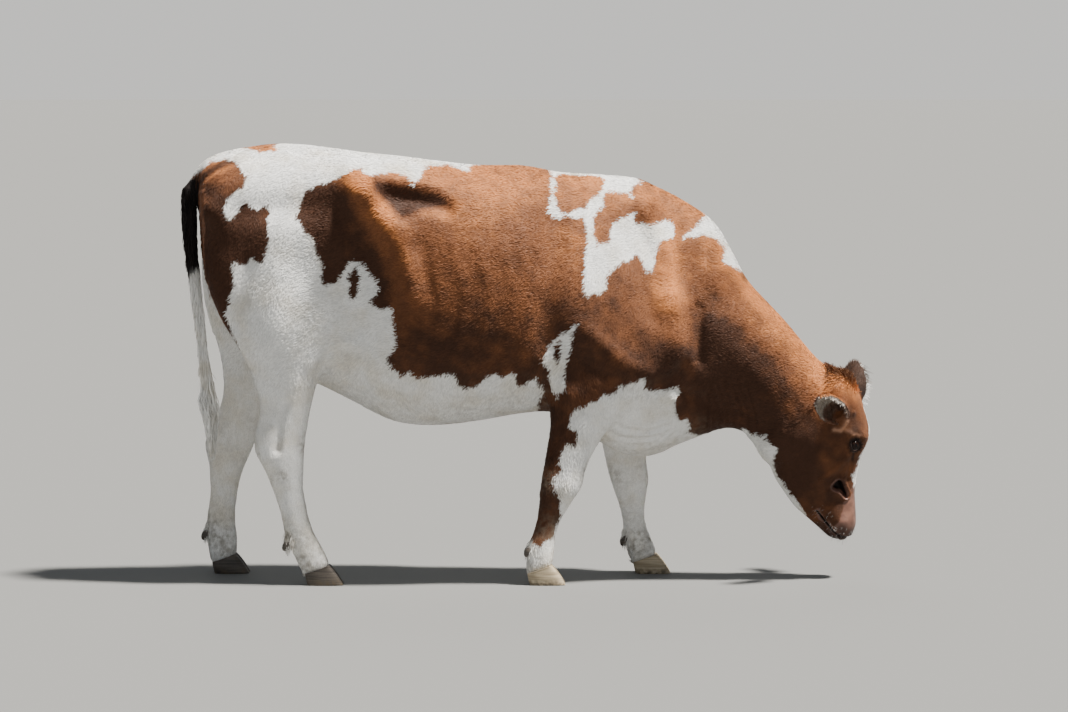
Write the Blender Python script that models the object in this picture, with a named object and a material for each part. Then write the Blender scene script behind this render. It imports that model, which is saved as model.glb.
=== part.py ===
"""A grazing dairy heifer, life size, as a still museum model.

+X is towards the head, +Y the animal's left and +Z up, in metres, and the soles stand on z = 0.
The flesh is lofted from sections, fused into one body, given its muscles, bones and hollows, and
then parted with thin cuts. Eyes, ears, claws, dewclaws, tail and switch are solids of their own.
"""

import math
from typing import NamedTuple

import bmesh
import bpy
import numpy as np
from mathutils import Euler, Matrix, Vector

# ---- Driving dimensions -------------------------------------------------------------------
CENTRE = Vector((0.0065, -0.0003, 0.0))    # middle of the model's box, which goes onto the origin
GAP = 0.0004                        # clearance between neighbouring solids

RING_POINTS = 32                    # points round a section of flesh
STEPS_BETWEEN = 5                   # sections made between two stations
VOXEL = 0.0095                      # cell of the mesh that fuses the flesh
FLESH_SHARE = 0.0197                # share of the triangles kept when the flesh is thinned

SHARP = math.radians(50.0)          # an edge bent more than this is shaded sharp

HEAD_PIVOT = Vector((1.00, 0.0, 0.66))
HEAD_TURN = Euler((math.radians(4.0), 0.0, math.radians(-6.0)))

EYE_RADIUS = 0.0200
EYE_PLACE = Vector((1.095, 0.0800, 0.4560))     # left eye on a straight head
EYE_FACETS = (16, 9)                # segments and rings

EAR_LENGTH = 0.170
EAR_THICKNESS = 0.012
EAR_POINTS = 8                      # points across each face of an ear
EAR_ROOT = Vector((1.063, 0.072, 0.552))        # left ear root on a straight head
EAR_ROOT_RADIUS = 0.034
EAR_ROOT_STEP = (0.012, -0.0015, 6)     # spacing, change of radius and number of its balls
EAR_START = 0.052                   # from the ear's root to where the ear's own solid starts
EAR_ROOM = Vector((0.10, 0.12, 0.12))   # space cut for the ear beyond its root
EAR_DROOP = -0.020                  # how far the tip bends back
EAR_DEPTH = 0.35                    # share of the cup's radius that lies behind the ear's line
EAR_TIP_RADIUS = 0.004              # least radius of the inner face
EAR_AXES = {                        # along each ear and out of its opening, by side
    -1: (Vector((-0.37, -0.87, 0.25)), Vector((0.45, -0.30, -0.80))),
    1: (Vector((0.22, 0.76, 0.60)), Vector((0.60, 0.25, -0.58))),
}
EAR_PROFILE = (                     # place along, half width, half of the arc's opening angle
    (0.00, 0.032, 2.75),
    (0.12, 0.037, 2.45),
    (0.30, 0.046, 1.95),
    (0.50, 0.051, 1.60),
    (0.70, 0.047, 1.35),
    (0.86, 0.034, 1.15),
    (1.00, 0.012, 0.95),
)

CLAW_TOE = 0.066                    # sole ahead of the foot's middle
CLAW_HEEL = 0.052                   # sole behind it
CLAW_HALF = 0.0235
CLAW_SPREAD = 0.0262                # middle of the foot to the middle of a claw
CLAW_LEVELS = 3
CLAW_POINTS = 14
CORONET_FRONT = 0.064               # height of the hoof's top edge in front
CORONET_REAR = 0.036                # and behind
CORONET_AHEAD = 0.020               # where the front height is met, from the foot's middle
CORONET_BEHIND = 0.062              # where the rear height is met
FOOT_AHEAD = 0.021                  # from the end of a leg's line to the foot's middle
SOLE_ROOM = Vector((0.26, 0.16, 0.20))  # space cut for the hoof under the leg
DORSAL_SLOPE = 0.72                 # how far the front wall leans back for each metre up
HEEL_LEAN = 0.008                   # how far the heel leans back
CLAW_TAPER = 0.12                   # share of its width that a claw loses towards its top
CLAW_INNER = 0.95                   # width of the half that faces the other claw
CLAW_ROUND = (0.85, 0.80)           # powers that square the sole's outline

DEWCLAW_RADII = Vector((0.0135, 0.0125, 0.0190))
DEWCLAW_TURN = Matrix.Rotation(math.radians(35.0), 4, "Y")
DEWCLAW_FACETS = (8, 5)             # segments and rings
DEWCLAW_DEPTH = 0.006               # middle of a dewclaw ahead of the fetlock's rear edge
DEWCLAW_SPREAD = 0.021
DEWCLAW_DROP = 0.016

# The cuts between the flesh's pieces: the start and end in x and z, and the span across
NECK_CUT = ((0.470, 1.450), (0.664, 0.360), 0.7)
HEAD_CUT = ((1.080, 0.760), (0.740, 0.420), 0.5)
TAIL_TOP = Vector((-1.139, 0.0, 1.309))     # where the tail's flat upper end meets the trunk
TAIL_ROOM = Vector((0.121, 0.08, 0.24))     # space cut for the tail behind the rump
BELLS = {                           # level of the bell's rim, its radii and its dome's height
    "hind": (0.80, (0.245, 0.128), 0.205),
    "fore": (0.66, (0.235, 0.112), 0.200),
}
BELL_OUT = 0.180                    # middle plane to the middle of a bell
BELL_BACK = 0.005                   # from the leg's line to the middle of a bell
BELL_FOOT = -0.05                   # level of a bell's lower end, below the soles
BELL_CROWN = 0.02                   # size of the flat on a dome
BELL_FACETS = (4, 16)               # levels of the dome, and points round it

RED_BROWN = (0.30, 0.105, 0.035, 1.0)
WHITE_COAT = (0.80, 0.77, 0.71, 1.0)
DARK_TAIL = (0.035, 0.020, 0.014, 1.0)
EYE_BROWN = (0.015, 0.009, 0.006, 1.0)
HOOF_HORN = (0.42, 0.36, 0.27, 1.0)


class Station(NamedTuple):
    """A section across the body, given by two opposite points of the outline and a width."""

    front: tuple                    # x, z of the front or upper point
    rear: tuple                     # x, z of the rear or lower point
    half: float                     # half the width
    widest: float = 0.5             # share of the way from front to rear where it is widest
    square_front: float = 2.0       # 2 is an ellipse, more is boxy, less is pointed
    square_rear: float = 2.0
    y: float = 0.0


class Section(NamedTuple):
    """A level section of a leg."""

    place: float                    # 2.3 is 30% of the way from the leg's point 2 to its point 3
    ahead: float                    # depth in front of the leg's line
    behind: float
    half: float
    tilt: float = 0.0               # how much higher the front of the section is than its rear
    widest: float = 0.45
    square: float = 2.0


class Form(NamedTuple):
    """A soft ridge or hollow along a short line on the side of the body."""

    start: tuple                    # x, z
    end: tuple                      # x, z
    reach: float
    height: float                   # above the skin, or below it where negative
    side: int = 0                   # 1 is the left side, -1 the right side, 0 both


# ---- Sections of the flesh ----------------------------------------------------------------
TRUNK = (
    Station((-1.076, 1.350), (-1.066, 1.130), 0.080, 0.42),
    Station((-1.062, 1.386), (-1.054, 1.040), 0.140, 0.40, 2.6, 2.2),
    Station((-1.020, 1.414), (-1.030, 0.900), 0.188, 0.38, 2.3, 2.2),
    Station((-0.930, 1.436), (-0.950, 0.790), 0.226, 0.42, 2.2, 2.2),
    Station((-0.800, 1.450), (-0.820, 0.690), 0.246, 0.42, 2.2, 2.2),
    Station((-0.670, 1.438), (-0.690, 0.645), 0.258, 0.40, 2.5, 2.2),
    Station((-0.545, 1.420), (-0.560, 0.580), 0.272, 0.42, 3.0, 2.2),
    Station((-0.420, 1.408), (-0.430, 0.520), 0.296, 0.48, 2.8, 2.2),
    Station((-0.290, 1.392), (-0.300, 0.508), 0.316, 0.52, 2.4, 2.2),
    Station((-0.150, 1.378), (-0.150, 0.524), 0.322, 0.52, 2.1, 2.2),
    Station((0.000, 1.378), (0.000, 0.550), 0.306, 0.52, 1.9, 2.2),
    Station((0.110, 1.357), (0.110, 0.548), 0.280, 0.52, 1.75, 2.2),
    Station((0.230, 1.352), (0.220, 0.466), 0.252, 0.52, 1.65, 2.1),
    Station((0.340, 1.336), (0.330, 0.410), 0.232, 0.54, 1.6, 2.0),
    Station((0.430, 1.290), (0.420, 0.404), 0.210, 0.55, 1.6, 2.0),
    Station((0.510, 1.150), (0.505, 0.445), 0.180, 0.55, 1.8, 2.0),
    Station((0.580, 0.980), (0.575, 0.540), 0.120, 0.55),
)

NECK = (
    Station((0.340, 1.315), (0.330, 0.460), 0.170, 0.58, 1.6, 2.0),
    Station((0.455, 1.295), (0.420, 0.420), 0.176, 0.58, 1.6, 2.0),
    Station((0.545, 1.258), (0.510, 0.442), 0.170, 0.58, 1.6, 2.0),
    Station((0.632, 1.194), (0.585, 0.468), 0.158, 0.56, 1.7, 1.9),
    Station((0.688, 1.098), (0.640, 0.490), 0.144, 0.54, 1.8, 1.8),
    Station((0.737, 1.003), (0.690, 0.497), 0.132, 0.52, 1.9, 1.8),
    Station((0.800, 0.932), (0.735, 0.474), 0.124, 0.50, 2.0, 1.8),
    Station((0.868, 0.862), (0.766, 0.432), 0.118, 0.48, 2.0, 1.9),
    Station((0.932, 0.784), (0.794, 0.390), 0.114, 0.50, 2.0, 2.5),
    Station((0.990, 0.720), (0.846, 0.372), 0.108, 0.52, 2.0, 2.4),
    Station((1.032, 0.698), (0.910, 0.400), 0.090, 0.52, 2.0, 2.4),
)

HEAD = (
    Station((1.030, 0.699), (0.985, 0.680), 0.044, 0.50),
    Station((1.076, 0.676), (0.950, 0.620), 0.080, 0.45, 2.6, 2.2),
    Station((1.108, 0.620), (0.905, 0.545), 0.096, 0.42, 3.0, 2.2),
    Station((1.131, 0.550), (0.850, 0.470), 0.102, 0.40, 3.2, 2.2),
    Station((1.147, 0.482), (0.812, 0.395), 0.104, 0.38, 3.0, 2.1),
    Station((1.119, 0.410), (0.822, 0.340), 0.095, 0.36, 2.6, 2.0),
    Station((1.104, 0.345), (0.850, 0.292), 0.080, 0.36, 2.1, 2.0),
    Station((1.099, 0.285), (0.886, 0.242), 0.068, 0.42, 2.0, 2.0),
    Station((1.102, 0.232), (0.922, 0.207), 0.066, 0.42, 2.1, 2.0),
    Station((1.104, 0.190), (0.955, 0.180), 0.072, 0.38, 2.4, 2.0),
    Station((1.096, 0.156), (0.983, 0.156), 0.071, 0.36, 2.4, 2.0),
    Station((1.075, 0.132), (1.003, 0.136), 0.056, 0.40),
    Station((1.052, 0.123), (1.026, 0.125), 0.026, 0.50),
)

TAIL_HEAD = (
    Station((-0.960, 1.428), (-0.990, 1.340), 0.034),
    Station((-1.030, 1.414), (-1.042, 1.340), 0.032),
    Station((-1.076, 1.386), (-1.062, 1.334), 0.029),
    Station((-1.111, 1.345), (-1.070, 1.316), 0.027),
    Station((-1.129, 1.300), (-1.081, 1.290), 0.025),
    Station((-1.136, 1.270), (-1.088, 1.268), 0.024),
)

TAIL = (                            # x and z of the middle, and the radius
    (-1.108, 1.330, 0.0260),
    (-1.112, 1.280, 0.0245),
    (-1.112, 1.200, 0.0230),
    (-1.106, 1.110, 0.0200),
    (-1.095, 1.020, 0.0180),
    (-1.078, 0.870, 0.0155),
    (-1.064, 0.765, 0.0150),
    (-1.053, 0.662, 0.0180),        # the switch starts here
    (-1.054, 0.625, 0.0300),
    (-1.056, 0.585, 0.0380),
    (-1.056, 0.530, 0.0360),
    (-1.048, 0.470, 0.0300),
    (-1.040, 0.410, 0.0200),
    (-1.034, 0.364, 0.0060),
)
SWITCH_START = 7                    # row of the table
TAIL_POINTS = 10                    # points round the tail
TAIL_STEPS = 2                      # rings between two rows

# The points of each leg's line as x, distance out from the middle plane, and height
HIND_RIGHT = ((-0.83, 0.130, 1.24), (-0.79, 0.158, 0.95), (-0.775, 0.172, 0.72),
              (-0.80, 0.182, 0.46), (-0.727, 0.185, 0.145), (-0.683, 0.185, 0.048))
HIND_LEFT = ((-0.84, 0.130, 1.24), (-0.83, 0.158, 0.95), (-0.885, 0.172, 0.72),
             (-0.977, 0.182, 0.46), (-1.018, 0.185, 0.145), (-1.012, 0.185, 0.048))
FORE_RIGHT = ((0.350, 0.060, 1.26), (0.330, 0.150, 0.84), (0.225, 0.168, 0.61),
              (0.118, 0.178, 0.335), (0.056, 0.182, 0.125), (0.047, 0.182, 0.048))
FORE_LEFT = ((0.355, 0.060, 1.26), (0.350, 0.150, 0.84), (0.345, 0.168, 0.61),
             (0.343, 0.178, 0.335), (0.378, 0.182, 0.125), (0.402, 0.182, 0.048))

HIND_SECTIONS = (
    Section(0.00, 0.160, 0.190, 0.070),
    Section(0.40, 0.240, 0.245, 0.098),
    Section(0.90, 0.234, 0.254, 0.104),
    Section(1.37, 0.195, 0.217, 0.098),
    Section(1.74, 0.149, 0.169, 0.086),
    Section(2.08, 0.111, 0.128, 0.070),
    Section(2.42, 0.096, 0.096, 0.056, square=1.9),
    Section(2.73, 0.088, 0.092, 0.048, square=1.9),
    Section(2.95, 0.084, 0.100, 0.046, -0.004, 0.40, 1.9),
    Section(3.10, 0.074, 0.098, 0.046, -0.006, 0.42),
    Section(3.25, 0.058, 0.080, 0.043),
    Section(3.46, 0.042, 0.066, 0.036),
    Section(3.72, 0.038, 0.059, 0.033),
    Section(3.90, 0.042, 0.060, 0.037),
    Section(4.05, 0.050, 0.061, 0.041, 0.006),
    Section(4.50, 0.050, 0.052, 0.043, 0.018, square=2.3),
    Section(5.00, 0.044, 0.046, 0.046, 0.030, square=2.5),
)

FORE_SECTIONS = (
    Section(0.00, 0.080, 0.080, 0.040),
    Section(0.31, 0.146, 0.144, 0.062),
    Section(0.64, 0.188, 0.187, 0.078),
    Section(0.99, 0.214, 0.220, 0.088),
    Section(1.48, 0.246, 0.200, 0.088),
    Section(1.83, 0.185, 0.172, 0.080),
    Section(2.10, 0.128, 0.137, 0.067),
    Section(2.35, 0.094, 0.110, 0.057),
    Section(2.60, 0.077, 0.094, 0.049),
    Section(2.84, 0.068, 0.078, 0.045),
    Section(3.06, 0.073, 0.064, 0.048, square=2.4),
    Section(3.34, 0.056, 0.054, 0.040),
    Section(3.58, 0.040, 0.046, 0.033),
    Section(3.80, 0.037, 0.046, 0.035),
    Section(4.00, 0.044, 0.050, 0.041, 0.004),
    Section(4.50, 0.046, 0.050, 0.043, 0.016, square=2.3),
    Section(5.00, 0.044, 0.046, 0.046, 0.030, square=2.5),
)

FORMS = (
    # hips and loin
    Form((-0.545, 1.290), (-0.515, 1.300), 0.050, 0.022),       # hook bone
    Form((-1.045, 1.235), (-1.060, 1.225), 0.045, 0.016),       # pin bone
    Form((-0.450, 1.284), (-0.350, 1.274), 0.034, -0.017),      # hollow of the flank
    Form((-0.370, 1.274), (-0.270, 1.256), 0.027, -0.011),
    Form((-0.690, 1.250), (-0.930, 1.235), 0.050, -0.010),      # between hook and pin
    Form((-0.790, 1.130), (-0.800, 1.110), 0.070, 0.010),       # thurl
    Form((-0.510, 1.265), (-0.385, 1.160), 0.034, 0.012),       # ridge from the hook to the ribs
    Form((-0.385, 1.160), (-0.320, 0.960), 0.036, 0.009),
    Form((-0.470, 1.120), (-0.400, 0.930), 0.045, -0.007),      # and the hollow behind it
    Form((-0.600, 1.050), (-0.520, 0.820), 0.060, -0.010),      # flank in front of the thigh
    Form((-0.640, 0.860), (-0.640, 0.740), 0.050, 0.008),       # stifle
    Form((-0.900, 1.050), (-0.960, 0.840), 0.035, -0.006),      # seam between the thigh muscles
    # barrel and shoulder
    Form((0.095, 1.180), (0.080, 0.820), 0.055, -0.012),        # behind the shoulder
    Form((0.300, 1.260), (0.440, 0.880), 0.028, 0.009),         # ridge of the shoulder blade
    Form((0.390, 1.190), (0.520, 0.950), 0.032, -0.008),        # in front of it
    Form((0.500, 0.800), (0.490, 0.780), 0.055, 0.010),         # point of the shoulder
    Form((0.200, 0.830), (0.330, 0.720), 0.045, 0.007),         # upper arm
    Form((0.125, 0.665), (0.135, 0.640), 0.040, 0.012),         # elbow
    # neck
    Form((0.560, 0.640), (0.800, 0.500), 0.026, -0.009),        # groove of the jugular vein
    Form((0.520, 1.120), (0.800, 0.840), 0.045, 0.005),
    # head
    Form((0.920, 0.455), (0.945, 0.410), 0.055, 0.007),         # cheek
    Form((1.070, 0.500), (1.095, 0.490), 0.022, 0.008),         # brow
    Form((1.045, 0.545), (1.040, 0.560), 0.026, -0.006),        # temple
    Form((1.040, 0.390), (1.060, 0.280), 0.024, -0.005),        # beside the nose
    Form((0.960, 0.290), (1.000, 0.250), 0.028, -0.003),
)

# the hollow in front of the Achilles tendon, from the hock's point of the leg's line
HOCK_HOLLOW = ((-0.035, 0.130), (-0.045, 0.060), 0.022, -0.008)


def blend(table, steps):
    """Rows of numbers joined by a smooth curve, with the given steps between two of them."""
    rows = np.array(table, dtype=float)
    padded = np.vstack((2 * rows[0] - rows[1], rows, 2 * rows[-1] - rows[-2]))
    result = []
    for index in range(len(rows) - 1):
        before, start, end, after = padded[index:index + 4]
        for step in range(steps):
            t = step / steps
            result.append(0.5 * (2 * start + (end - before) * t
                                 + (2 * before - 5 * start + 4 * end - after) * t ** 2
                                 + (3 * start - before - 3 * end + after) * t ** 3))
    result.append(rows[-1])
    return result


def power(value, exponent):
    """A signed power, which squares or sharpens a circle's sine or cosine."""
    return math.copysign(abs(value) ** exponent, value)


def skin_over(mesh, rings, cupped=False):
    """Join rings of points into one closed tube.

    Each end gets a fan, or where the rings are cupped a strip between their two walls.
    """
    loops = [[mesh.verts.new(point) for point in ring] for ring in rings]
    for lower, upper in zip(loops, loops[1:]):
        for index in range(len(lower)):
            following = (index + 1) % len(lower)
            mesh.faces.new((lower[index], lower[following], upper[following], upper[index]))
    for loop in (loops[0], loops[-1]):
        if cupped:
            for index in range(len(loop) // 2 - 1):
                mesh.faces.new((loop[index], loop[index + 1], loop[-index - 2], loop[-index - 1]))
            continue
        hub = mesh.verts.new(sum((vert.co for vert in loop), Vector()) / len(loop))
        for index, vert in enumerate(loop):
            mesh.faces.new((hub, vert, loop[(index + 1) % len(loop)]))
    bmesh.ops.recalc_face_normals(mesh, faces=mesh.faces)


def station_rings(stations, count=RING_POINTS, steps=STEPS_BETWEEN):
    """The rings of points through a list of stations."""
    rows = [(*s.front, *s.rear, *s[2:]) for s in stations]
    rings = []
    for fx, fz, rx, rz, half, widest, front_square, rear_square, y in blend(rows, steps):
        front, rear = Vector((fx, y, fz)), Vector((rx, y, rz))
        middle = front.lerp(rear, widest)
        ring = []
        for index in range(count):
            angle = math.tau * index / count
            ahead, out = math.cos(angle), math.sin(angle)
            square = front_square if ahead > 0 else rear_square
            tip = front if ahead > 0 else rear
            reach = abs(ahead) ** (2 / square)
            side = Vector((0.0, half * power(out, 2 / square), 0.0))
            ring.append(middle + (tip - middle) * reach + side)
        rings.append(ring)
    return rings


def leg_stations(line, sections, side):
    """Stations of one leg from its line and its sections."""
    stations = []
    for section in sections:
        first = min(int(section.place), len(line) - 2)
        share = section.place - first
        x, y, z = (a + (b - a) * share for a, b in zip(line[first], line[first + 1]))
        rise = section.tilt / 2
        stations.append(Station((x + section.ahead, z + rise), (x - section.behind, z - rise),
                                section.half, section.widest, section.square, section.square,
                                side * y))
    return stations


def on_head(point, side=1):
    """Turn a point of the straight head, given for the left side, to where the head is held."""
    straight = Vector((point[0], side * point[1], point[2]))
    return HEAD_PIVOT + HEAD_TURN.to_matrix() @ (straight - HEAD_PIVOT)


def turned_rings(rings):
    """Turn the rings of a straight head to how the head is held."""
    return [[on_head(point) for point in ring] for ring in rings]


# ---- Building blocks ----------------------------------------------------------------------
def material(name, colour, roughness):
    """A plain Principled material."""
    surface = bpy.data.materials.new(name)
    surface.use_nodes = True
    shader = surface.node_tree.nodes["Principled BSDF"]
    shader.inputs["Base Color"].default_value = colour
    shader.inputs["Roughness"].default_value = roughness
    surface.diffuse_color = colour
    return surface


def shade(data):
    """Shade a mesh smooth between its sharp edges."""
    data.shade_smooth()
    data.set_sharp_from_angle(angle=SHARP)


def add_object(name, mesh, surface=None):
    """Make an object from a bmesh and free the bmesh."""
    data = bpy.data.meshes.new(name)
    mesh.to_mesh(data)
    mesh.free()
    if surface:
        data.materials.append(surface)
    shade(data)
    thing = bpy.data.objects.new(name, data)
    bpy.context.scene.collection.objects.link(thing)
    return thing


def settle(thing):
    """Apply the modifiers of an object."""
    graph = bpy.context.evaluated_depsgraph_get()
    graph.update()
    data = bpy.data.meshes.new_from_object(thing.evaluated_get(graph))
    thing.modifiers.clear()
    thing.data = data
    shade(data)


def cut(thing, cutters):
    """Take the cutters out of an object one after the other, and remove them."""
    for cutter in cutters:
        modifier = thing.modifiers.new(cutter.name, "BOOLEAN")
        modifier.operation = "DIFFERENCE"
        modifier.solver = "EXACT"
        modifier.object = cutter
        settle(thing)
        bpy.data.objects.remove(cutter)


def box(name, centre, size, turn=Euler()):
    """A box used as a cutter."""
    mesh = bmesh.new()
    place = Matrix.Translation(centre) @ turn.to_matrix().to_4x4() @ Matrix.Diagonal((*size, 1.0))
    bmesh.ops.create_cube(mesh, size=1.0, matrix=place)
    return add_object(name, mesh)


def slab(name, start, end, span):
    """A cutter as thin as the clearance, standing on a line given by x and z."""
    first, last = Vector((start[0], 0.0, start[1])), Vector((end[0], 0.0, end[1]))
    along = last - first
    turn = Euler((0.0, -math.atan2(along.z, along.x), 0.0))
    return box(name, (first + last) / 2, (along.length, span, GAP), turn)


def ball(mesh, centre, radii, segments, rings, turn=Matrix.Identity(4)):
    """Add an ellipsoid to a bmesh."""
    place = Matrix.Translation(centre) @ turn @ Matrix.Diagonal((*radii, 1.0))
    bmesh.ops.create_uvsphere(mesh, u_segments=segments, v_segments=rings, radius=1.0, matrix=place)


def bell(name, top, foot, radii, dome):
    """A thin bell-shaped cutter that parts a leg from the trunk: a dome over a long skirt."""
    mesh = bmesh.new()
    levels, points = BELL_FACETS
    shells = []
    for offset in (0.0, GAP):
        rings = []
        for level in range(levels + 1):
            tilt = math.pi / 2 * level / levels
            size = math.cos(tilt) if level < levels else BELL_CROWN
            lift = (dome + offset) * math.sin(tilt)
            rings.append((top + Vector((0.0, 0.0, lift)), size, offset))
        rings.insert(0, (foot, 1.0, offset))
        shells.append(rings)
    for rings in shells:
        loops = []
        for middle, size, offset in rings:
            loop = []
            for index in range(points):
                angle = math.tau * index / points
                spread = Vector(((radii[0] + offset) * math.cos(angle),
                                 (radii[1] + offset) * math.sin(angle), 0.0))
                loop.append(mesh.verts.new(middle + spread * size))
            loops.append(loop)
        for lower, upper in zip(loops, loops[1:]):
            for index in range(points):
                following = (index + 1) % points
                mesh.faces.new((lower[index], lower[following], upper[following], upper[index]))
        mesh.faces.new(loops[-1])
    mesh.verts.ensure_lookup_table()
    half = len(mesh.verts) // 2
    for index in range(points):
        following = (index + 1) % points
        mesh.faces.new((mesh.verts[index], mesh.verts[half + index],
                        mesh.verts[half + following], mesh.verts[following]))
    bmesh.ops.recalc_face_normals(mesh, faces=mesh.faces)
    return add_object(name, mesh)


# ---- Flesh --------------------------------------------------------------------------------
LEGS = {
    "hind_right": (HIND_RIGHT, HIND_SECTIONS, -1),
    "hind_left": (HIND_LEFT, HIND_SECTIONS, 1),
    "fore_right": (FORE_RIGHT, FORE_SECTIONS, -1),
    "fore_left": (FORE_LEFT, FORE_SECTIONS, 1),
}


def ear_axes(side):
    """Directions of an ear on the turned head: along it, across it, and out of its opening."""
    along, opening = EAR_AXES[side]
    along = along.normalized()
    across = opening.cross(along).normalized()
    return along, across, along.cross(across)


def fused_flesh():
    """The lofts of trunk, neck, head and legs fused into one body and smoothed."""
    mesh = bmesh.new()
    skin_over(mesh, station_rings(TRUNK))
    skin_over(mesh, station_rings(NECK))
    skin_over(mesh, station_rings(TAIL_HEAD))
    skin_over(mesh, turned_rings(station_rings(HEAD)))
    for line, sections, side in LEGS.values():
        skin_over(mesh, station_rings(leg_stations(line, sections, side)))
    for side in (-1, 1):
        along = ear_axes(side)[0]
        root = on_head(EAR_ROOT, side)
        spacing, change, number = EAR_ROOT_STEP
        for step in range(number):
            ball(mesh, root + along * spacing * step, [EAR_ROOT_RADIUS + change * step] * 3, 16, 10)
    flesh = add_object("flesh", mesh)
    remesh = flesh.modifiers.new("fuse", "REMESH")
    remesh.mode = "VOXEL"
    remesh.voxel_size = VOXEL
    settle(flesh)
    smooth = flesh.modifiers.new("smooth", "SMOOTH")
    smooth.factor = 0.5
    smooth.iterations = 8
    settle(flesh)
    return flesh


def shape_forms(flesh):
    """Raise the bones and muscles and sink the hollows between them."""
    data = flesh.data
    count = len(data.vertices)
    places = np.empty(count * 3)
    data.vertices.foreach_get("co", places)
    places = places.reshape(-1, 3)
    normals = np.empty(count * 3)
    data.vertices.foreach_get("normal", normals)
    normals = normals.reshape(-1, 3)
    forms = list(FORMS)
    for line, _, side in (LEGS["hind_right"], LEGS["hind_left"]):
        x, _, z = line[3]
        (ax, az), (bx, bz), reach, height = HOCK_HOLLOW
        forms.append(Form((x + ax, z + az), (x + bx, z + bz), reach, height, side))
    lift = np.zeros(count)
    flat = places[:, [0, 2]]
    for form in forms:
        start, end = np.array(form.start), np.array(form.end)
        along = end - start
        share = np.clip((flat - start) @ along / max(along @ along, 1e-9), 0.0, 1.0)
        distance = np.linalg.norm(flat - start - share[:, None] * along, axis=1)
        bump = form.height * np.exp(-(distance / form.reach) ** 2) * np.abs(normals[:, 1])
        if form.side:
            bump *= places[:, 1] * form.side > 0
        lift += bump
    places += normals * lift[:, None]
    data.vertices.foreach_set("co", places.ravel())
    data.update()


def thin(flesh):
    """Thin the flesh's mesh to few triangles."""
    decimate = flesh.modifiers.new("thin", "DECIMATE")
    decimate.ratio = FLESH_SHARE
    settle(flesh)


def coronet_plane(line):
    """Middle of a hoof's top on the ground plan, and a function giving the top's height at x."""
    middle = line[-1][0] + FOOT_AHEAD
    front, rear = middle + CORONET_AHEAD, middle - CORONET_BEHIND

    def height(x):
        return CORONET_REAR + (CORONET_FRONT - CORONET_REAR) * (x - rear) / (front - rear)

    return middle, height


def eye_places():
    """Middles of the two eyes."""
    return {"left": on_head(EYE_PLACE, 1), "right": on_head(EYE_PLACE, -1)}


def dewclaw_places(name):
    """Middles of a leg's two dewclaws, by name, on the back of the fetlock."""
    line, sections, side = LEGS[name]
    below = next(section for section in sections if section.place > 4)
    x, y, z = line[4]
    rear = x - below.behind + DEWCLAW_DEPTH
    return {label: Vector((rear, side * (y + sign * DEWCLAW_SPREAD), z - DEWCLAW_DROP))
            for label, sign in (("inner", -1), ("outer", 1))}


def leg_bell(name):
    """The cutter that parts a leg from the trunk."""
    line, _, side = LEGS[name]
    level, radii, dome = BELLS[name.split("_")[0]]
    top = Vector((line[1][0] - BELL_BACK, side * BELL_OUT, level))
    foot = Vector((line[-1][0], side * BELL_OUT, BELL_FOOT))
    return bell("part_" + name, top, foot, radii, dome)


def sole_box(name):
    """The cutter that ends a leg flat above its hoof."""
    line, _, side = LEGS[name]
    middle, height = coronet_plane(line)
    turn = Euler((0.0, -math.atan(height(1.0) - height(0.0)), 0.0))
    top = Vector((middle, side * line[-1][1], height(middle) + GAP))
    return box("sole_" + name, top - turn.to_matrix() @ Vector((0.0, 0.0, SOLE_ROOM.z / 2)),
               SOLE_ROOM, turn)


def tail_box(side):
    """A box above the tail's flat upper end, or below it where side is -1."""
    middle = TAIL_TOP + Vector((0.0, 0.0, side * (TAIL_ROOM.z - GAP) / 2))
    return box("tail_cut", middle, TAIL_ROOM)


def ear_cutters():
    """Boxes that end the ear roots flat."""
    cutters = []
    for side in (-1, 1):
        along, across, opening = ear_axes(side)
        turn = Matrix((along, across, opening)).transposed().to_euler()
        centre = on_head(EAR_ROOT, side) + along * (EAR_START - GAP + EAR_ROOM.x / 2)
        cutters.append(box("ear_cut", centre, EAR_ROOM, turn))
    return cutters


def socket(place, radii, facets, turn=Matrix.Identity(4)):
    """A hollow for an eye or a dewclaw."""
    mesh = bmesh.new()
    ball(mesh, place, radii + Vector((GAP, GAP, GAP)), *facets, turn)
    return add_object("socket", mesh)


def loose_parts(thing):
    """Split an object into its loose bodies, largest first, and remove the object."""
    whole = bmesh.new()
    whole.from_mesh(thing.data)
    bpy.data.objects.remove(thing)
    seen = set()
    parts = []
    for seed in whole.verts:
        if seed in seen:
            continue
        group, waiting = [], [seed]
        seen.add(seed)
        while waiting:
            vert = waiting.pop()
            group.append(vert)
            for edge in vert.link_edges:
                other = edge.other_vert(vert)
                if other not in seen:
                    seen.add(other)
                    waiting.append(other)
        parts.append(group)
    things = []
    for group in parts:
        piece = bmesh.new()
        copies = {vert: piece.verts.new(vert.co) for vert in group}
        for face in {face: None for vert in group for face in vert.link_faces}:
            piece.faces.new([copies[vert] for vert in face.verts])
        things.append((piece.calc_volume(), add_object("piece", piece)))
    whole.free()
    things.sort(key=lambda entry: entry[0], reverse=True)
    return [thing for _, thing in things]


def split(thing, cutter):
    """Cut an object in two. The larger piece comes first."""
    cut(thing, [cutter])
    larger, smaller, *crumbs = loose_parts(thing)
    for crumb in crumbs:
        bpy.data.objects.remove(crumb)
    return larger, smaller


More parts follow.
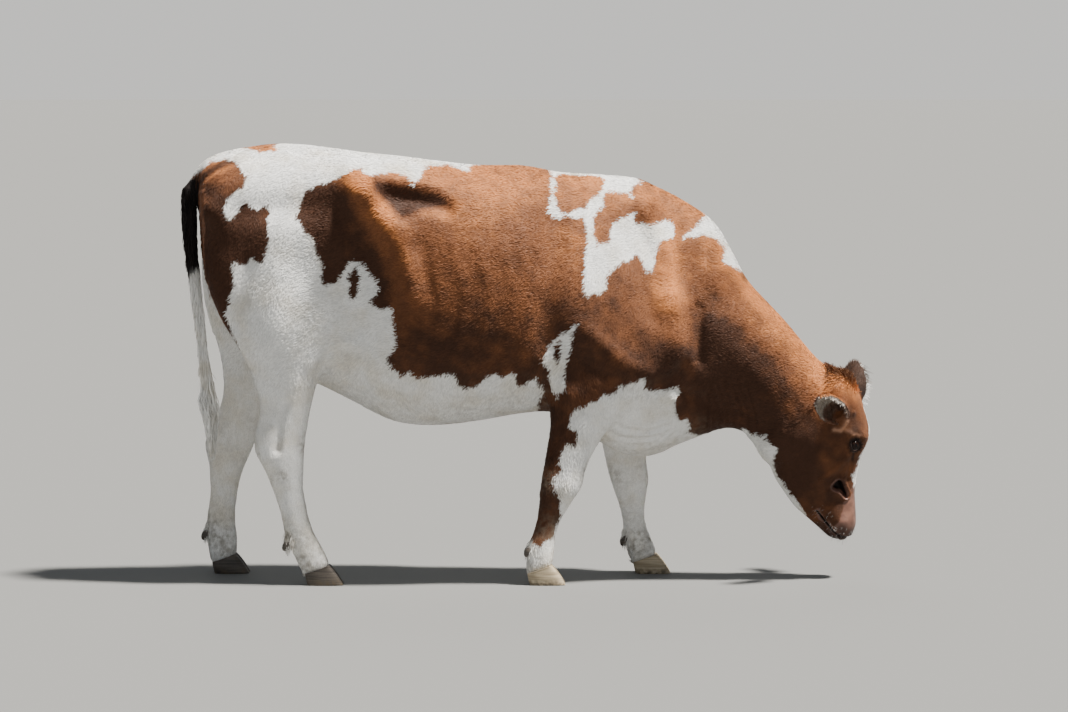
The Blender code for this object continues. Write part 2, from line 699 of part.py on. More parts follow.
def part_flesh(flesh, surfaces):
    """Part the flesh into trunk, neck, head and legs."""
    rest = flesh
    named = {}
    for name in LEGS:
        rest, leg = split(rest, leg_bell(name))
        sockets = [socket(place, DEWCLAW_RADII, DEWCLAW_FACETS, DEWCLAW_TURN)
                   for place in dewclaw_places(name).values()]
        cut(leg, [sole_box(name)] + sockets)
        named["leg_" + name] = leg
    rest, front = split(rest, slab("part_neck", *NECK_CUT))
    cut(rest, [tail_box(-1)])
    named["trunk"] = rest
    named["neck"], head = split(front, slab("part_head", *HEAD_CUT))
    eye = Vector((EYE_RADIUS, EYE_RADIUS, EYE_RADIUS))
    cut(head, ear_cutters() + [socket(place, eye, EYE_FACETS) for place in eye_places().values()])
    named["head"] = head
    for name, thing in named.items():
        thing.name = name
        thing.data.materials.append(surfaces["brown" if name in ("head", "neck") else "white"])


# ---- Ears, eyes, hooves and tail ------------------------------------------------------------
def add_ears(surface):
    """Cupped leaf-shaped ears on the ear roots."""
    for side, label in ((-1, "right"), (1, "left")):
        along, across, opening = ear_axes(side)
        start = on_head(EAR_ROOT, side) + along * EAR_START
        mesh = bmesh.new()
        rings = []
        for place, half, spread in EAR_PROFILE:
            width = half / math.sin(min(spread, math.pi / 2))
            bend = EAR_DROOP * place ** 2 + EAR_DEPTH * width
            centre = start + along * EAR_LENGTH * place + opening * bend
            ring = []
            for radius, order in ((width, 1), (max(width - EAR_THICKNESS, EAR_TIP_RADIUS), -1)):
                for step in range(EAR_POINTS):
                    angle = order * spread * (2 * step / (EAR_POINTS - 1) - 1)
                    ring.append(centre + across * radius * math.sin(angle)
                                - opening * radius * math.cos(angle))
            rings.append(ring)
        skin_over(mesh, rings, cupped=True)
        add_object("ear_" + label, mesh, surface)


def add_eyes(surface):
    """Eyeballs."""
    for name, place in eye_places().items():
        mesh = bmesh.new()
        ball(mesh, place, [EYE_RADIUS] * 3, *EYE_FACETS)
        add_object("eye_" + name, mesh, surface)


def add_claws(surface):
    """Two claws to each foot, flat on the ground and flat on top."""
    for name, (line, _, side) in LEGS.items():
        middle, height = coronet_plane(line)
        for label, sign in (("inner", -1), ("outer", 1)):
            y = side * (line[-1][1] + sign * CLAW_SPREAD)
            out = side * sign
            mesh = bmesh.new()
            rings = []
            for level in range(CLAW_LEVELS):
                share = level / (CLAW_LEVELS - 1)
                ring = []
                for index in range(CLAW_POINTS):
                    angle = math.tau * index / CLAW_POINTS
                    ahead, across = math.cos(angle), math.sin(angle)
                    reach = CLAW_TOE if ahead > 0 else CLAW_HEEL
                    x = middle + reach * power(ahead, CLAW_ROUND[0])
                    x -= share * (DORSAL_SLOPE * CORONET_FRONT * max(ahead, 0.0)
                                  + HEEL_LEAN * max(-ahead, 0.0))
                    width = CLAW_HALF * (1.0 if across * out > 0 else CLAW_INNER)
                    width *= (1 - CLAW_TAPER * share) * power(across, CLAW_ROUND[1])
                    ring.append(Vector((x, y + width, share * height(x))))
                rings.append(ring)
            skin_over(mesh, rings)
            add_object(f"claw_{name}_{label}", mesh, surface)


def add_dewclaws(surface):
    """Small dewclaws behind each fetlock."""
    for name in LEGS:
        for label, place in dewclaw_places(name).items():
            mesh = bmesh.new()
            ball(mesh, place, DEWCLAW_RADII, *DEWCLAW_FACETS, DEWCLAW_TURN)
            add_object(f"dewclaw_{name}_{label}", mesh, surface)


def tail_rings():
    """Rings of points along the tail and its switch, each square to the tail's line."""
    line = blend(TAIL, TAIL_STEPS)
    rings = []
    for index, (x, z, radius) in enumerate(line):
        first, last = line[max(index - 1, 0)], line[min(index + 1, len(line) - 1)]
        along = Vector((last[0] - first[0], 0.0, last[1] - first[1])).normalized()
        out = Vector((0.0, 1.0, 0.0))
        ahead = out.cross(along)
        turns = [math.tau * k / TAIL_POINTS for k in range(TAIL_POINTS)]
        rings.append([Vector((x, 0.0, z)) + (ahead * math.cos(turn) + out * math.sin(turn)) * radius
                      for turn in turns])
    return rings


def add_tail(dark, white):
    """The tail below the tail head, and its switch."""
    rings = tail_rings()
    first = SWITCH_START * TAIL_STEPS
    mesh = bmesh.new()
    skin_over(mesh, rings[:first + 1])
    tail = add_object("tail", mesh, dark)
    cut(tail, [tail_box(1)])
    lowered = [point - Vector((0.0, 0.0, GAP)) for point in rings[first]]
    mesh = bmesh.new()
    skin_over(mesh, [lowered] + rings[first + 1:])
    add_object("tail_switch", mesh, white)


def main():
    """Build the cow."""
    for thing in list(bpy.data.objects):
        bpy.data.objects.remove(thing)
    surfaces = {
        "brown": material("red_brown_coat", RED_BROWN, 0.75),
        "white": material("white_coat", WHITE_COAT, 0.75),
        "dark": material("dark_hair", DARK_TAIL, 0.70),
        "eye": material("eye", EYE_BROWN, 0.05),
        "horn": material("hoof_horn", HOOF_HORN, 0.50),
    }
    flesh = fused_flesh()
    shape_forms(flesh)
    thin(flesh)
    part_flesh(flesh, surfaces)
    add_ears(surfaces["brown"])
    add_eyes(surfaces["eye"])
    add_claws(surfaces["horn"])
    add_dewclaws(surfaces["horn"])
    add_tail(surfaces["dark"], surfaces["white"])
    origin = bpy.data.objects.new("cow", None)
    bpy.context.scene.collection.objects.link(origin)
    for thing in list(bpy.data.objects):
        if thing.type == "MESH":
            thing.parent = origin
    origin.location = -CENTRE


main()
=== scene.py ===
"""The looks of a life-size grazing dairy cow, dressed over its fixed solids.

One closed skin is made over the solids of trunk, neck, head, legs, ears and tail, smoothed, given
its bones, folds and face, and drawn in by the depth of the coat. Thin tufts of hair lie over it.
Everything is in metres: +X towards the head, +Y the animal's left, +Z up, the soles on z = 0.
"""

import logging
import math
import time
from dataclasses import dataclass, field
from enum import Enum
from functools import partial
from typing import Callable

import bmesh
import bpy
import numpy as np
from mathutils import Euler, Matrix, Vector


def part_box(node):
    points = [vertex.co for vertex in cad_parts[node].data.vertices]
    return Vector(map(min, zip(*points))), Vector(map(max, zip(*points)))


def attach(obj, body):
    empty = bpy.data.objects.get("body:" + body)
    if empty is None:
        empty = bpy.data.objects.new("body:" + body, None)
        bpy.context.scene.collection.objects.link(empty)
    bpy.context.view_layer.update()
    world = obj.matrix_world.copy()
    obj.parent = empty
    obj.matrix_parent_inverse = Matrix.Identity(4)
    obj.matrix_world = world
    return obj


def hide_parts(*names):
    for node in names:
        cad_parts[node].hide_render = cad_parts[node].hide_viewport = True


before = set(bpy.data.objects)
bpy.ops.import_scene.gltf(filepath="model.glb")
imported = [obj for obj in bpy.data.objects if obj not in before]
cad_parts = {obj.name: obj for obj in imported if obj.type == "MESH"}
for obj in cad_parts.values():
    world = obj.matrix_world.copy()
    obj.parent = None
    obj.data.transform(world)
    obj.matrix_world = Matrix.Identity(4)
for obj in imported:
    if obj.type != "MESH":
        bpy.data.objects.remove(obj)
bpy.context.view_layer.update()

LOG = logging.getLogger("cow")
BODY = "root"
SIDES = ("left", "right")
PARTS = ("inner", "outer")
LEGS = ("hind_right", "hind_left", "fore_right", "fore_left")
FLESH = ("trunk", "neck", "head", "tail", "tail_switch", "ear_left", "ear_right",
         *("leg_" + name for name in LEGS))


# ---- Arithmetic on arrays of points -------------------------------------------------------
def ramp(values: np.ndarray, low: float, high: float) -> np.ndarray:
    """Smooth step from 0 at low to 1 at high."""
    share = np.clip((values - low) / (high - low), 0.0, 1.0)
    return share * share * (3.0 - 2.0 * share)


def bell(values: np.ndarray) -> np.ndarray:
    """Soft hump: 1 at 0, and nothing beyond 2 on either side."""
    return np.exp(-values ** 2)


def unit(vectors: np.ndarray) -> np.ndarray:
    """The vectors at length one."""
    return vectors / np.maximum(np.linalg.norm(vectors, axis=-1, keepdims=True), 1e-12)


def waves(points: np.ndarray, size: float, seed: int, count: int = 7) -> np.ndarray:
    """Soft noise between about -1 and 1, made of a few crossing waves.

    Args:
        points: Places in metres.
        size: Rough width of a patch of the noise.
        seed: Starts the choice of waves.
        count: Number of waves.

    Returns:
        One number for each place.
    """
    rng = np.random.default_rng(seed)
    total = np.zeros(len(points))
    for direction in unit(rng.normal(size=(count, 3))):
        pace = math.pi / size * rng.uniform(0.7, 1.5)
        total += np.sin(points @ direction * pace + rng.uniform(0, math.tau))
    return total / math.sqrt(count)


def reach_to_line(points: np.ndarray, line: tuple) -> np.ndarray:
    """Distance of each point to a line through a few corners.

    Args:
        points: Places with as many coordinates as the corners have.
        line: Two or more corners.

    Returns:
        Distances in metres.
    """
    corners = np.array(line, dtype=float)
    best = np.full(len(points), np.inf)
    for start, end in zip(corners[:-1], corners[1:]):
        along = end - start
        share = np.clip((points - start) @ along / max(along @ along, 1e-12), 0.0, 1.0)
        away = points - start - share[:, None] * along
        best = np.minimum(best, np.einsum("ij,ij->i", away, away))
    return np.sqrt(best)


def depth_inside(points: np.ndarray, outline: tuple) -> np.ndarray:
    """How deep each point lies inside a closed outline, negative outside it.

    Args:
        points: Places with two coordinates.
        outline: Corners of the outline in order.

    Returns:
        Distances to the outline, with their sign.
    """
    corners = np.array(outline, dtype=float)
    margin = 0.06
    low, high = corners.min(axis=0) - margin, corners.max(axis=0) + margin
    near = np.all((points > low) & (points < high), axis=1)
    result = np.full(len(points), -margin)
    here = points[near]
    inside = np.zeros(len(here), dtype=bool)
    for (ax, az), (bx, bz) in zip(corners, np.roll(corners, -1, axis=0)):
        if az != bz:
            crosses = (here[:, 1] < az) != (here[:, 1] < bz)
            inside ^= crosses & (here[:, 0] < ax + (here[:, 1] - az) * (bx - ax) / (bz - az))
    away = reach_to_line(here, (*outline, outline[0]))
    result[near] = np.where(inside, away, -np.minimum(away, margin))
    return result


def rounded(outline: tuple, turns: int = 2) -> tuple:
    """Round the corners of a closed outline by cutting them.

    Args:
        outline: Corners in order.
        turns: How often the corners are cut.

    Returns:
        The rounder outline.
    """
    corners = np.array(outline, dtype=float)
    for _ in range(turns):
        after = np.roll(corners, -1, axis=0)
        corners = np.stack((corners * 0.75 + after * 0.25, corners * 0.25 + after * 0.75),
                           axis=1).reshape(-1, 2)
    return tuple(map(tuple, corners))


# ---- Meshes -------------------------------------------------------------------------------
def mesh_points(data: bpy.types.Mesh, what: str = "co") -> np.ndarray:
    """Places or normals of a mesh's vertices.

    Args:
        data: The mesh.
        what: "co" for places, "normal" for normals.

    Returns:
        Rows of three numbers.
    """
    values = np.empty(len(data.vertices) * 3)
    data.vertices.foreach_get(what, values)
    return values.reshape(-1, 3)


def skin_of(data: bpy.types.Mesh) -> tuple[np.ndarray, np.ndarray]:
    """Places and normals of a mesh's vertices."""
    return mesh_points(data), mesh_points(data, "normal")


def place_points(data: bpy.types.Mesh, points: np.ndarray) -> None:
    """Move a mesh's vertices."""
    data.vertices.foreach_set("co", points.ravel())
    data.update()


def store(data: bpy.types.Mesh, name: str, values: np.ndarray) -> None:
    """Keep one number for each vertex in the mesh, where the materials read it."""
    kept = data.attributes.get(name) or data.attributes.new(name, "FLOAT", "POINT")
    kept.data.foreach_set("value", values.astype(np.float32))


def from_bmesh(mesh: bmesh.types.BMesh, name: str) -> bpy.types.Mesh:
    """Turn a bmesh into a mesh and free it.

    Args:
        mesh: The bmesh.
        name: Name of the mesh.

    Returns:
        The mesh.
    """
    data = bpy.data.meshes.new(name)
    mesh.to_mesh(data)
    mesh.free()
    return data


def new_object(name: str, mesh: bmesh.types.BMesh | bpy.types.Mesh) -> bpy.types.Object:
    """Put a mesh into the scene, shaded smooth.

    Args:
        name: Name of the piece.
        mesh: A bmesh, which is freed, or a mesh.

    Returns:
        The new object.
    """
    data = from_bmesh(mesh, name) if isinstance(mesh, bmesh.types.BMesh) else mesh
    data.shade_smooth()
    thing = bpy.data.objects.new(name, data)
    bpy.context.scene.collection.objects.link(thing)
    return thing


def dress(thing: bpy.types.Object, slot: str, *nodes: str) -> bpy.types.Object:
    """Let a piece ride on the body, in place of solids.

    Args:
        thing: The piece.
        slot: Not used.
        nodes: The solids that it stands for.

    Returns:
        The piece.
    """
    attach(thing, BODY)
    if nodes:
        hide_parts(*nodes)
    return thing


def tube(mesh: bmesh.types.BMesh, rings: list, cupped: bool = False) -> None:
    """Join rings of points into one closed tube.

    Args:
        mesh: Receives the tube.
        rings: Lists of as many points each.
        cupped: Close the ends with a strip between two walls and not with a fan.
    """
    loops = [[mesh.verts.new(point) for point in ring] for ring in rings]
    for lower, upper in zip(loops, loops[1:]):
        for index in range(len(lower)):
            after = (index + 1) % len(lower)
            mesh.faces.new((lower[index], lower[after], upper[after], upper[index]))
    for loop in (loops[0], loops[-1]):
        if cupped:
            for index in range(len(loop) // 2 - 1):
                mesh.faces.new((loop[index], loop[index + 1], loop[-index - 2], loop[-index - 1]))
            continue
        hub = mesh.verts.new(sum((vert.co for vert in loop), Vector()) / len(loop))
        for index, vert in enumerate(loop):
            mesh.faces.new((hub, vert, loop[(index + 1) % len(loop)]))
    bmesh.ops.recalc_face_normals(mesh, faces=mesh.faces)


def middle_of(node: str) -> Vector:
    """The middle of a solid's box."""
    low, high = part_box(node)
    return (Vector(low) + Vector(high)) / 2


# ---- The head's own frame -----------------------------------------------------------------
@dataclass(frozen=True)
class HeadPose:
    """How the head is held, so that its details can be given for a straight head."""

    pivot: np.ndarray = field(default_factory=lambda: np.array((0.9935, 0.0003, 0.660)))
    turn: Euler = field(default_factory=lambda: Euler((math.radians(4), 0, math.radians(-6))))

    def matrix(self) -> np.ndarray:
        """The turn as a matrix."""
        return np.array(self.turn.to_matrix())

    def straight(self, points: np.ndarray) -> np.ndarray:
        """Places on the turned head as they are on the straight one."""
        return (points - self.pivot) @ self.matrix() + self.pivot

    def turned(self, points: np.ndarray) -> np.ndarray:
        """Places on the straight head as they are on the model."""
        return (points - self.pivot) @ self.matrix().T + self.pivot


HEAD = HeadPose()


@dataclass(frozen=True)
class EarForm:
    """A cupped, leaf-shaped ear on one side of the head."""

    side: int
    along: tuple
    opening: tuple
    root: tuple = (1.0565, 0.072, 0.552)
    start: float = 0.048
    length: float = 0.176
    wall: float = 0.0072
    droop: float = -0.020
    depth: float = 0.35
    profile: tuple = (              # place along, half width, half of the arc's opening angle
        (0.00, 0.031, 2.75), (0.12, 0.036, 2.45), (0.30, 0.045, 1.95), (0.50, 0.0495, 1.60),
        (0.70, 0.0455, 1.35), (0.86, 0.0325, 1.15), (0.95, 0.019, 1.02), (1.00, 0.008, 0.95),
    )

    def axes(self) -> tuple[Vector, Vector, Vector]:
        """The directions of the ear.

        Returns:
            Directions along the ear, across it and out of its opening.
        """
        along = Vector(self.along).normalized()
        across = Vector(self.opening).cross(along).normalized()
        return along, across, along.cross(across)

    def base(self) -> Vector:
        """Where the ear's line leaves the head."""
        x, y, z = self.root
        return Vector(HEAD.turned(np.array((x, self.side * y, z))))

    def inside(self, points: np.ndarray, normals: np.ndarray) -> np.ndarray:
        """How far a place faces the middle of the cup.

        Args:
            points: Places on the ear.
            normals: The skin's normals there.

        Returns:
            From -1 on the back of the ear to 1 in its cup.
        """
        along, across, out = self.local(points).T
        share = np.clip((along - self.start) / self.length, 0.0, 1.0)
        shares, halves, spreads = np.array(self.profile).T
        width = np.interp(share, shares, halves) / np.sin(
            np.minimum(np.interp(share, shares, spreads), math.pi / 2))
        middle = self.droop * share ** 2 + width * self.depth
        away = unit(np.stack((across, out - middle), axis=1))
        turned = normals @ np.array(self.axes()).T
        return -np.einsum("ij,ij->i", away, turned[:, 1:])

    def near(self, points: np.ndarray, margin: float = 0.0) -> np.ndarray:
        """Which places belong to the ear.

        Args:
            points: Places on the model.
            margin: How much further in than the ear's start.

        Returns:
            True for each place on the ear.
        """
        along, across, out = self.local(points).T
        reach = np.clip(0.044 + 0.6 * (along - self.start), 0.030, 0.085)
        return ((along > self.start - margin) & (along < self.start + self.length + 0.03)
                & (np.hypot(across, out) < reach) & (points[:, 1] * self.side > 0.05))

    def local(self, points: np.ndarray) -> np.ndarray:
        """Places along, across and out of the ear, in metres from its root."""
        return (points - np.array(self.base())) @ np.array(self.axes()).T

    def build(self, mesh: bmesh.types.BMesh, points: int = 22, steps: int = 4) -> None:
        """Add the ear as a closed cup.

        Args:
            mesh: Receives the cup.
            points: Points across each wall.
            steps: Rings between two rows of the profile.
        """
        along, across, opening = self.axes()
        start = self.base() + along * self.start
        rows = np.array(self.profile)
        places = np.linspace(0, len(rows) - 1, (len(rows) - 1) * steps + 1)
        rings = []
        for place in places:
            share, half, spread = (np.interp(place, range(len(rows)), column)
                                   for column in rows.T)
            width = half / math.sin(min(spread, math.pi / 2))
            centre = start + along * self.length * float(share) + opening * float(
                self.droop * share ** 2 + width * self.depth)
            ring = []
            for radius, order in ((width, 1), (max(width - self.wall, 0.003), -1)):
                for step in range(points):
                    angle = float(order * spread * (2 * step / (points - 1) - 1))
                    ring.append(centre + across * float(radius) * math.sin(angle)
                                - opening * float(radius) * math.cos(angle))
            rings.append(ring)
        tube(mesh, rings, cupped=True)


EARS = (EarForm(-1, (-0.37, -0.87, 0.25), (0.45, -0.30, -0.80)),
        EarForm(1, (0.22, 0.76, 0.60), (0.60, 0.25, -0.58)))


# ---- Skin ---------------------------------------------------------------------------------
@dataclass(frozen=True)
class Form:
    """A soft ridge or hollow along a line.

    A line of (x, z) lies on the side of the body. A line of (x, y, z) lies on the left half of
    the straight head.
    """

    line: tuple
    reach: float
    height: float                   # above the skin, or below it where negative
    side: int = 0                   # 1 is the left side, -1 the right side, 0 both


BODY_FORMS = (
    Form(((-0.552, 1.292), (-0.525, 1.300)), 0.045, 0.016),                     # hook bone
    Form(((-1.050, 1.235), (-1.064, 1.225)), 0.040, 0.012),                     # pin bone
    Form(((-0.470, 1.292), (-0.400, 1.276), (-0.330, 1.262), (-0.262, 1.246)), 0.030, -0.020),
    Form(((-0.450, 1.254), (-0.412, 1.238)), 0.034, -0.019),                    # flank hollow
    Form(((-0.500, 1.348), (-0.400, 1.328), (-0.280, 1.306)), 0.018, 0.006),    # edge of the loin
    Form(((-0.575, 1.352), (-0.535, 1.306), (-0.470, 1.212), (-0.420, 1.130), (-0.392, 1.040),
          (-0.380, 0.960)), 0.042, 0.017),                                      # flank's ridge
    Form(((-0.340, 1.120), (-0.318, 0.970)), 0.036, -0.008),
    Form(((-0.610, 1.230), (-0.540, 1.140), (-0.470, 1.000)), 0.050, -0.012),
    Form(((-1.072, 1.330), (-1.020, 1.368), (-0.965, 1.390)), 0.014, -0.010),   # by the tail
    Form(((-0.690, 1.245), (-0.930, 1.230)), 0.045, -0.006),                    # hook to pin
    Form(((-0.615, 1.050), (-0.560, 0.860)), 0.050, -0.010),                    # before thigh
    Form(((-0.690, 0.700), (-0.648, 0.752), (-0.605, 0.775), (-0.555, 0.768)), 0.016, -0.008),
    Form(((-0.700, 0.730), (-0.650, 0.785), (-0.600, 0.805), (-0.540, 0.795)), 0.018, 0.006),
    Form(((-0.905, 1.060), (-0.960, 0.860)), 0.026, -0.006),                    # thigh muscles
    Form(((-0.800, 1.020), (-0.840, 0.800)), 0.060, 0.008),
    Form(((0.090, 1.180), (0.060, 0.960), (0.075, 0.800)), 0.045, -0.010),      # behind shoulder
    Form(((0.395, 1.210), (0.455, 1.060), (0.480, 0.920)), 0.036, 0.011),       # shoulder blade
    Form(((0.330, 1.150), (0.395, 1.000), (0.415, 0.890)), 0.036, -0.007),
    Form(((0.565, 1.060), (0.600, 0.950)), 0.045, -0.006),
    Form(((0.475, 0.940), (0.500, 0.850), (0.515, 0.760)), 0.040, 0.012),       # shoulder point
    Form(((0.574, 0.905), (0.572, 0.740)), 0.020, -0.010),                      # crease before it
    Form(((0.180, 0.860), (0.300, 0.760), (0.400, 0.700)), 0.030, 0.006),       # upper arm
    Form(((0.130, 0.800), (0.250, 0.700)), 0.022, -0.005),
    Form(((0.120, 0.665), (0.130, 0.640)), 0.034, 0.008),                       # elbow
    Form(((0.500, 0.640), (0.640, 0.570), (0.790, 0.500)), 0.022, -0.009),      # jugular groove
    Form(((0.560, 0.900), (0.700, 0.760), (0.800, 0.640)), 0.050, 0.006),
    Form(((0.600, 1.080), (0.780, 0.850)), 0.030, -0.004),
    Form(((-0.790, 0.600), (-0.810, 0.530), (-0.818, 0.450)), 0.014, -0.010, -1),  # right hock
    Form(((-0.930, 0.600), (-0.950, 0.530), (-0.958, 0.450)), 0.014, -0.010, 1),   # left hock
    *(Form(((x - 0.03, 1.13), (x + 0.02, 0.95), (x - 0.02, 0.76)), 0.017, 0.0018)
      for x in (-0.37, -0.29, -0.21, -0.13, -0.05)),                            # ribs
)

BRISKET_FOLDS = (
    ((0.235, 0.492), (0.270, 0.460), (0.330, 0.446), (0.400, 0.452)),
    ((0.250, 0.515), (0.300, 0.480), (0.370, 0.470), (0.440, 0.484)),
    ((0.262, 0.545), (0.320, 0.508), (0.400, 0.497), (0.470, 0.520)),
    ((0.440, 0.470), (0.475, 0.500), (0.492, 0.548)),
    ((0.462, 0.462), (0.500, 0.496), (0.515, 0.540)),
)

NECK_FOLDS = tuple(((x, 0.64 + (x - 0.6) * 0.2), (x + 0.030, 0.56), (x + 0.035, 0.49))
                   for x in (0.585, 0.630, 0.676, 0.722))

HEAD_FORMS = (
    Form(((1.066, 0.080, 0.512), (1.095, 0.074, 0.503), (1.118, 0.060, 0.482)), 0.013, 0.0075),
    Form(((1.052, 0.088, 0.503), (1.083, 0.085, 0.492), (1.108, 0.076, 0.470)), 0.005, -0.0032),
    Form(((1.043, 0.090, 0.478), (1.056, 0.093, 0.436), (1.082, 0.086, 0.415)), 0.006, -0.0030),
    Form(((1.024, 0.086, 0.518), (1.047, 0.090, 0.515), (1.067, 0.088, 0.536), (1.084, 0.080,
          0.560)), 0.008, 0.0080),                                              # below the ear
    Form(((1.020, 0.090, 0.545), (1.040, 0.092, 0.538), (1.052, 0.090, 0.552)), 0.010, -0.0060),
    Form(((1.030, 0.090, 0.490), (1.008, 0.092, 0.445)), 0.022, -0.0070),       # behind the eye
    Form(((1.062, 0.083, 0.425), (1.040, 0.083, 0.385), (0.985, 0.080, 0.345)), 0.011, 0.0065),
    Form(((1.084, 0.074, 0.405), (1.080, 0.066, 0.360), (1.072, 0.060, 0.335)), 0.013, -0.0065),
    Form(((1.108, 0.030, 0.440), (1.098, 0.034, 0.360), (1.096, 0.030, 0.300)), 0.010, 0.0030),
    Form(((0.930, 0.085, 0.490), (0.900, 0.080, 0.430), (0.930, 0.078, 0.390)), 0.032, 0.0080),
    Form(((0.965, 0.085, 0.480), (0.955, 0.082, 0.410), (0.925, 0.078, 0.360)), 0.016, -0.0024),
    Form(((0.960, 0.080, 0.375), (0.985, 0.070, 0.310), (1.000, 0.062, 0.260)), 0.018, -0.0060),
    Form(((0.880, 0.070, 0.350), (0.930, 0.060, 0.262)), 0.012, -0.0040),
    Form(((1.040, 0.066, 0.352), (1.058, 0.062, 0.340), (1.066, 0.058, 0.305)), 0.007, 0.0045),
    Form(((1.010, 0.070, 0.300), (1.032, 0.071, 0.288), (1.052, 0.067, 0.272)), 0.010, 0.0060),
    Form(((1.020, 0.074, 0.225), (1.050, 0.074, 0.195)), 0.024, 0.0050),        # upper lip
    Form(((1.102, 0.000, 0.240), (1.106, 0.000, 0.165)), 0.004, -0.0030),       # its groove
)

NOSTRIL = rounded(((1.014, 0.312), (1.024, 0.330), (1.040, 0.339), (1.052, 0.334),
                   (1.058, 0.310), (1.068, 0.283), (1.061, 0.270), (1.049, 0.286),
                   (1.040, 0.298), (1.024, 0.302)))
MUZZLE = rounded(((1.000, 0.115), (1.006, 0.155), (1.026, 0.186), (1.044, 0.218),
                  (1.050, 0.250), (1.060, 0.268), (1.080, 0.284), (1.080, 0.306),
                  (1.092, 0.318), (1.160, 0.324), (1.160, 0.080), (1.040, 0.080)))
MOUTH = ((0.965, 0.230), (0.982, 0.209), (0.999, 0.188), (1.017, 0.164), (1.037, 0.147),
         (1.070, 0.136), (1.115, 0.132))


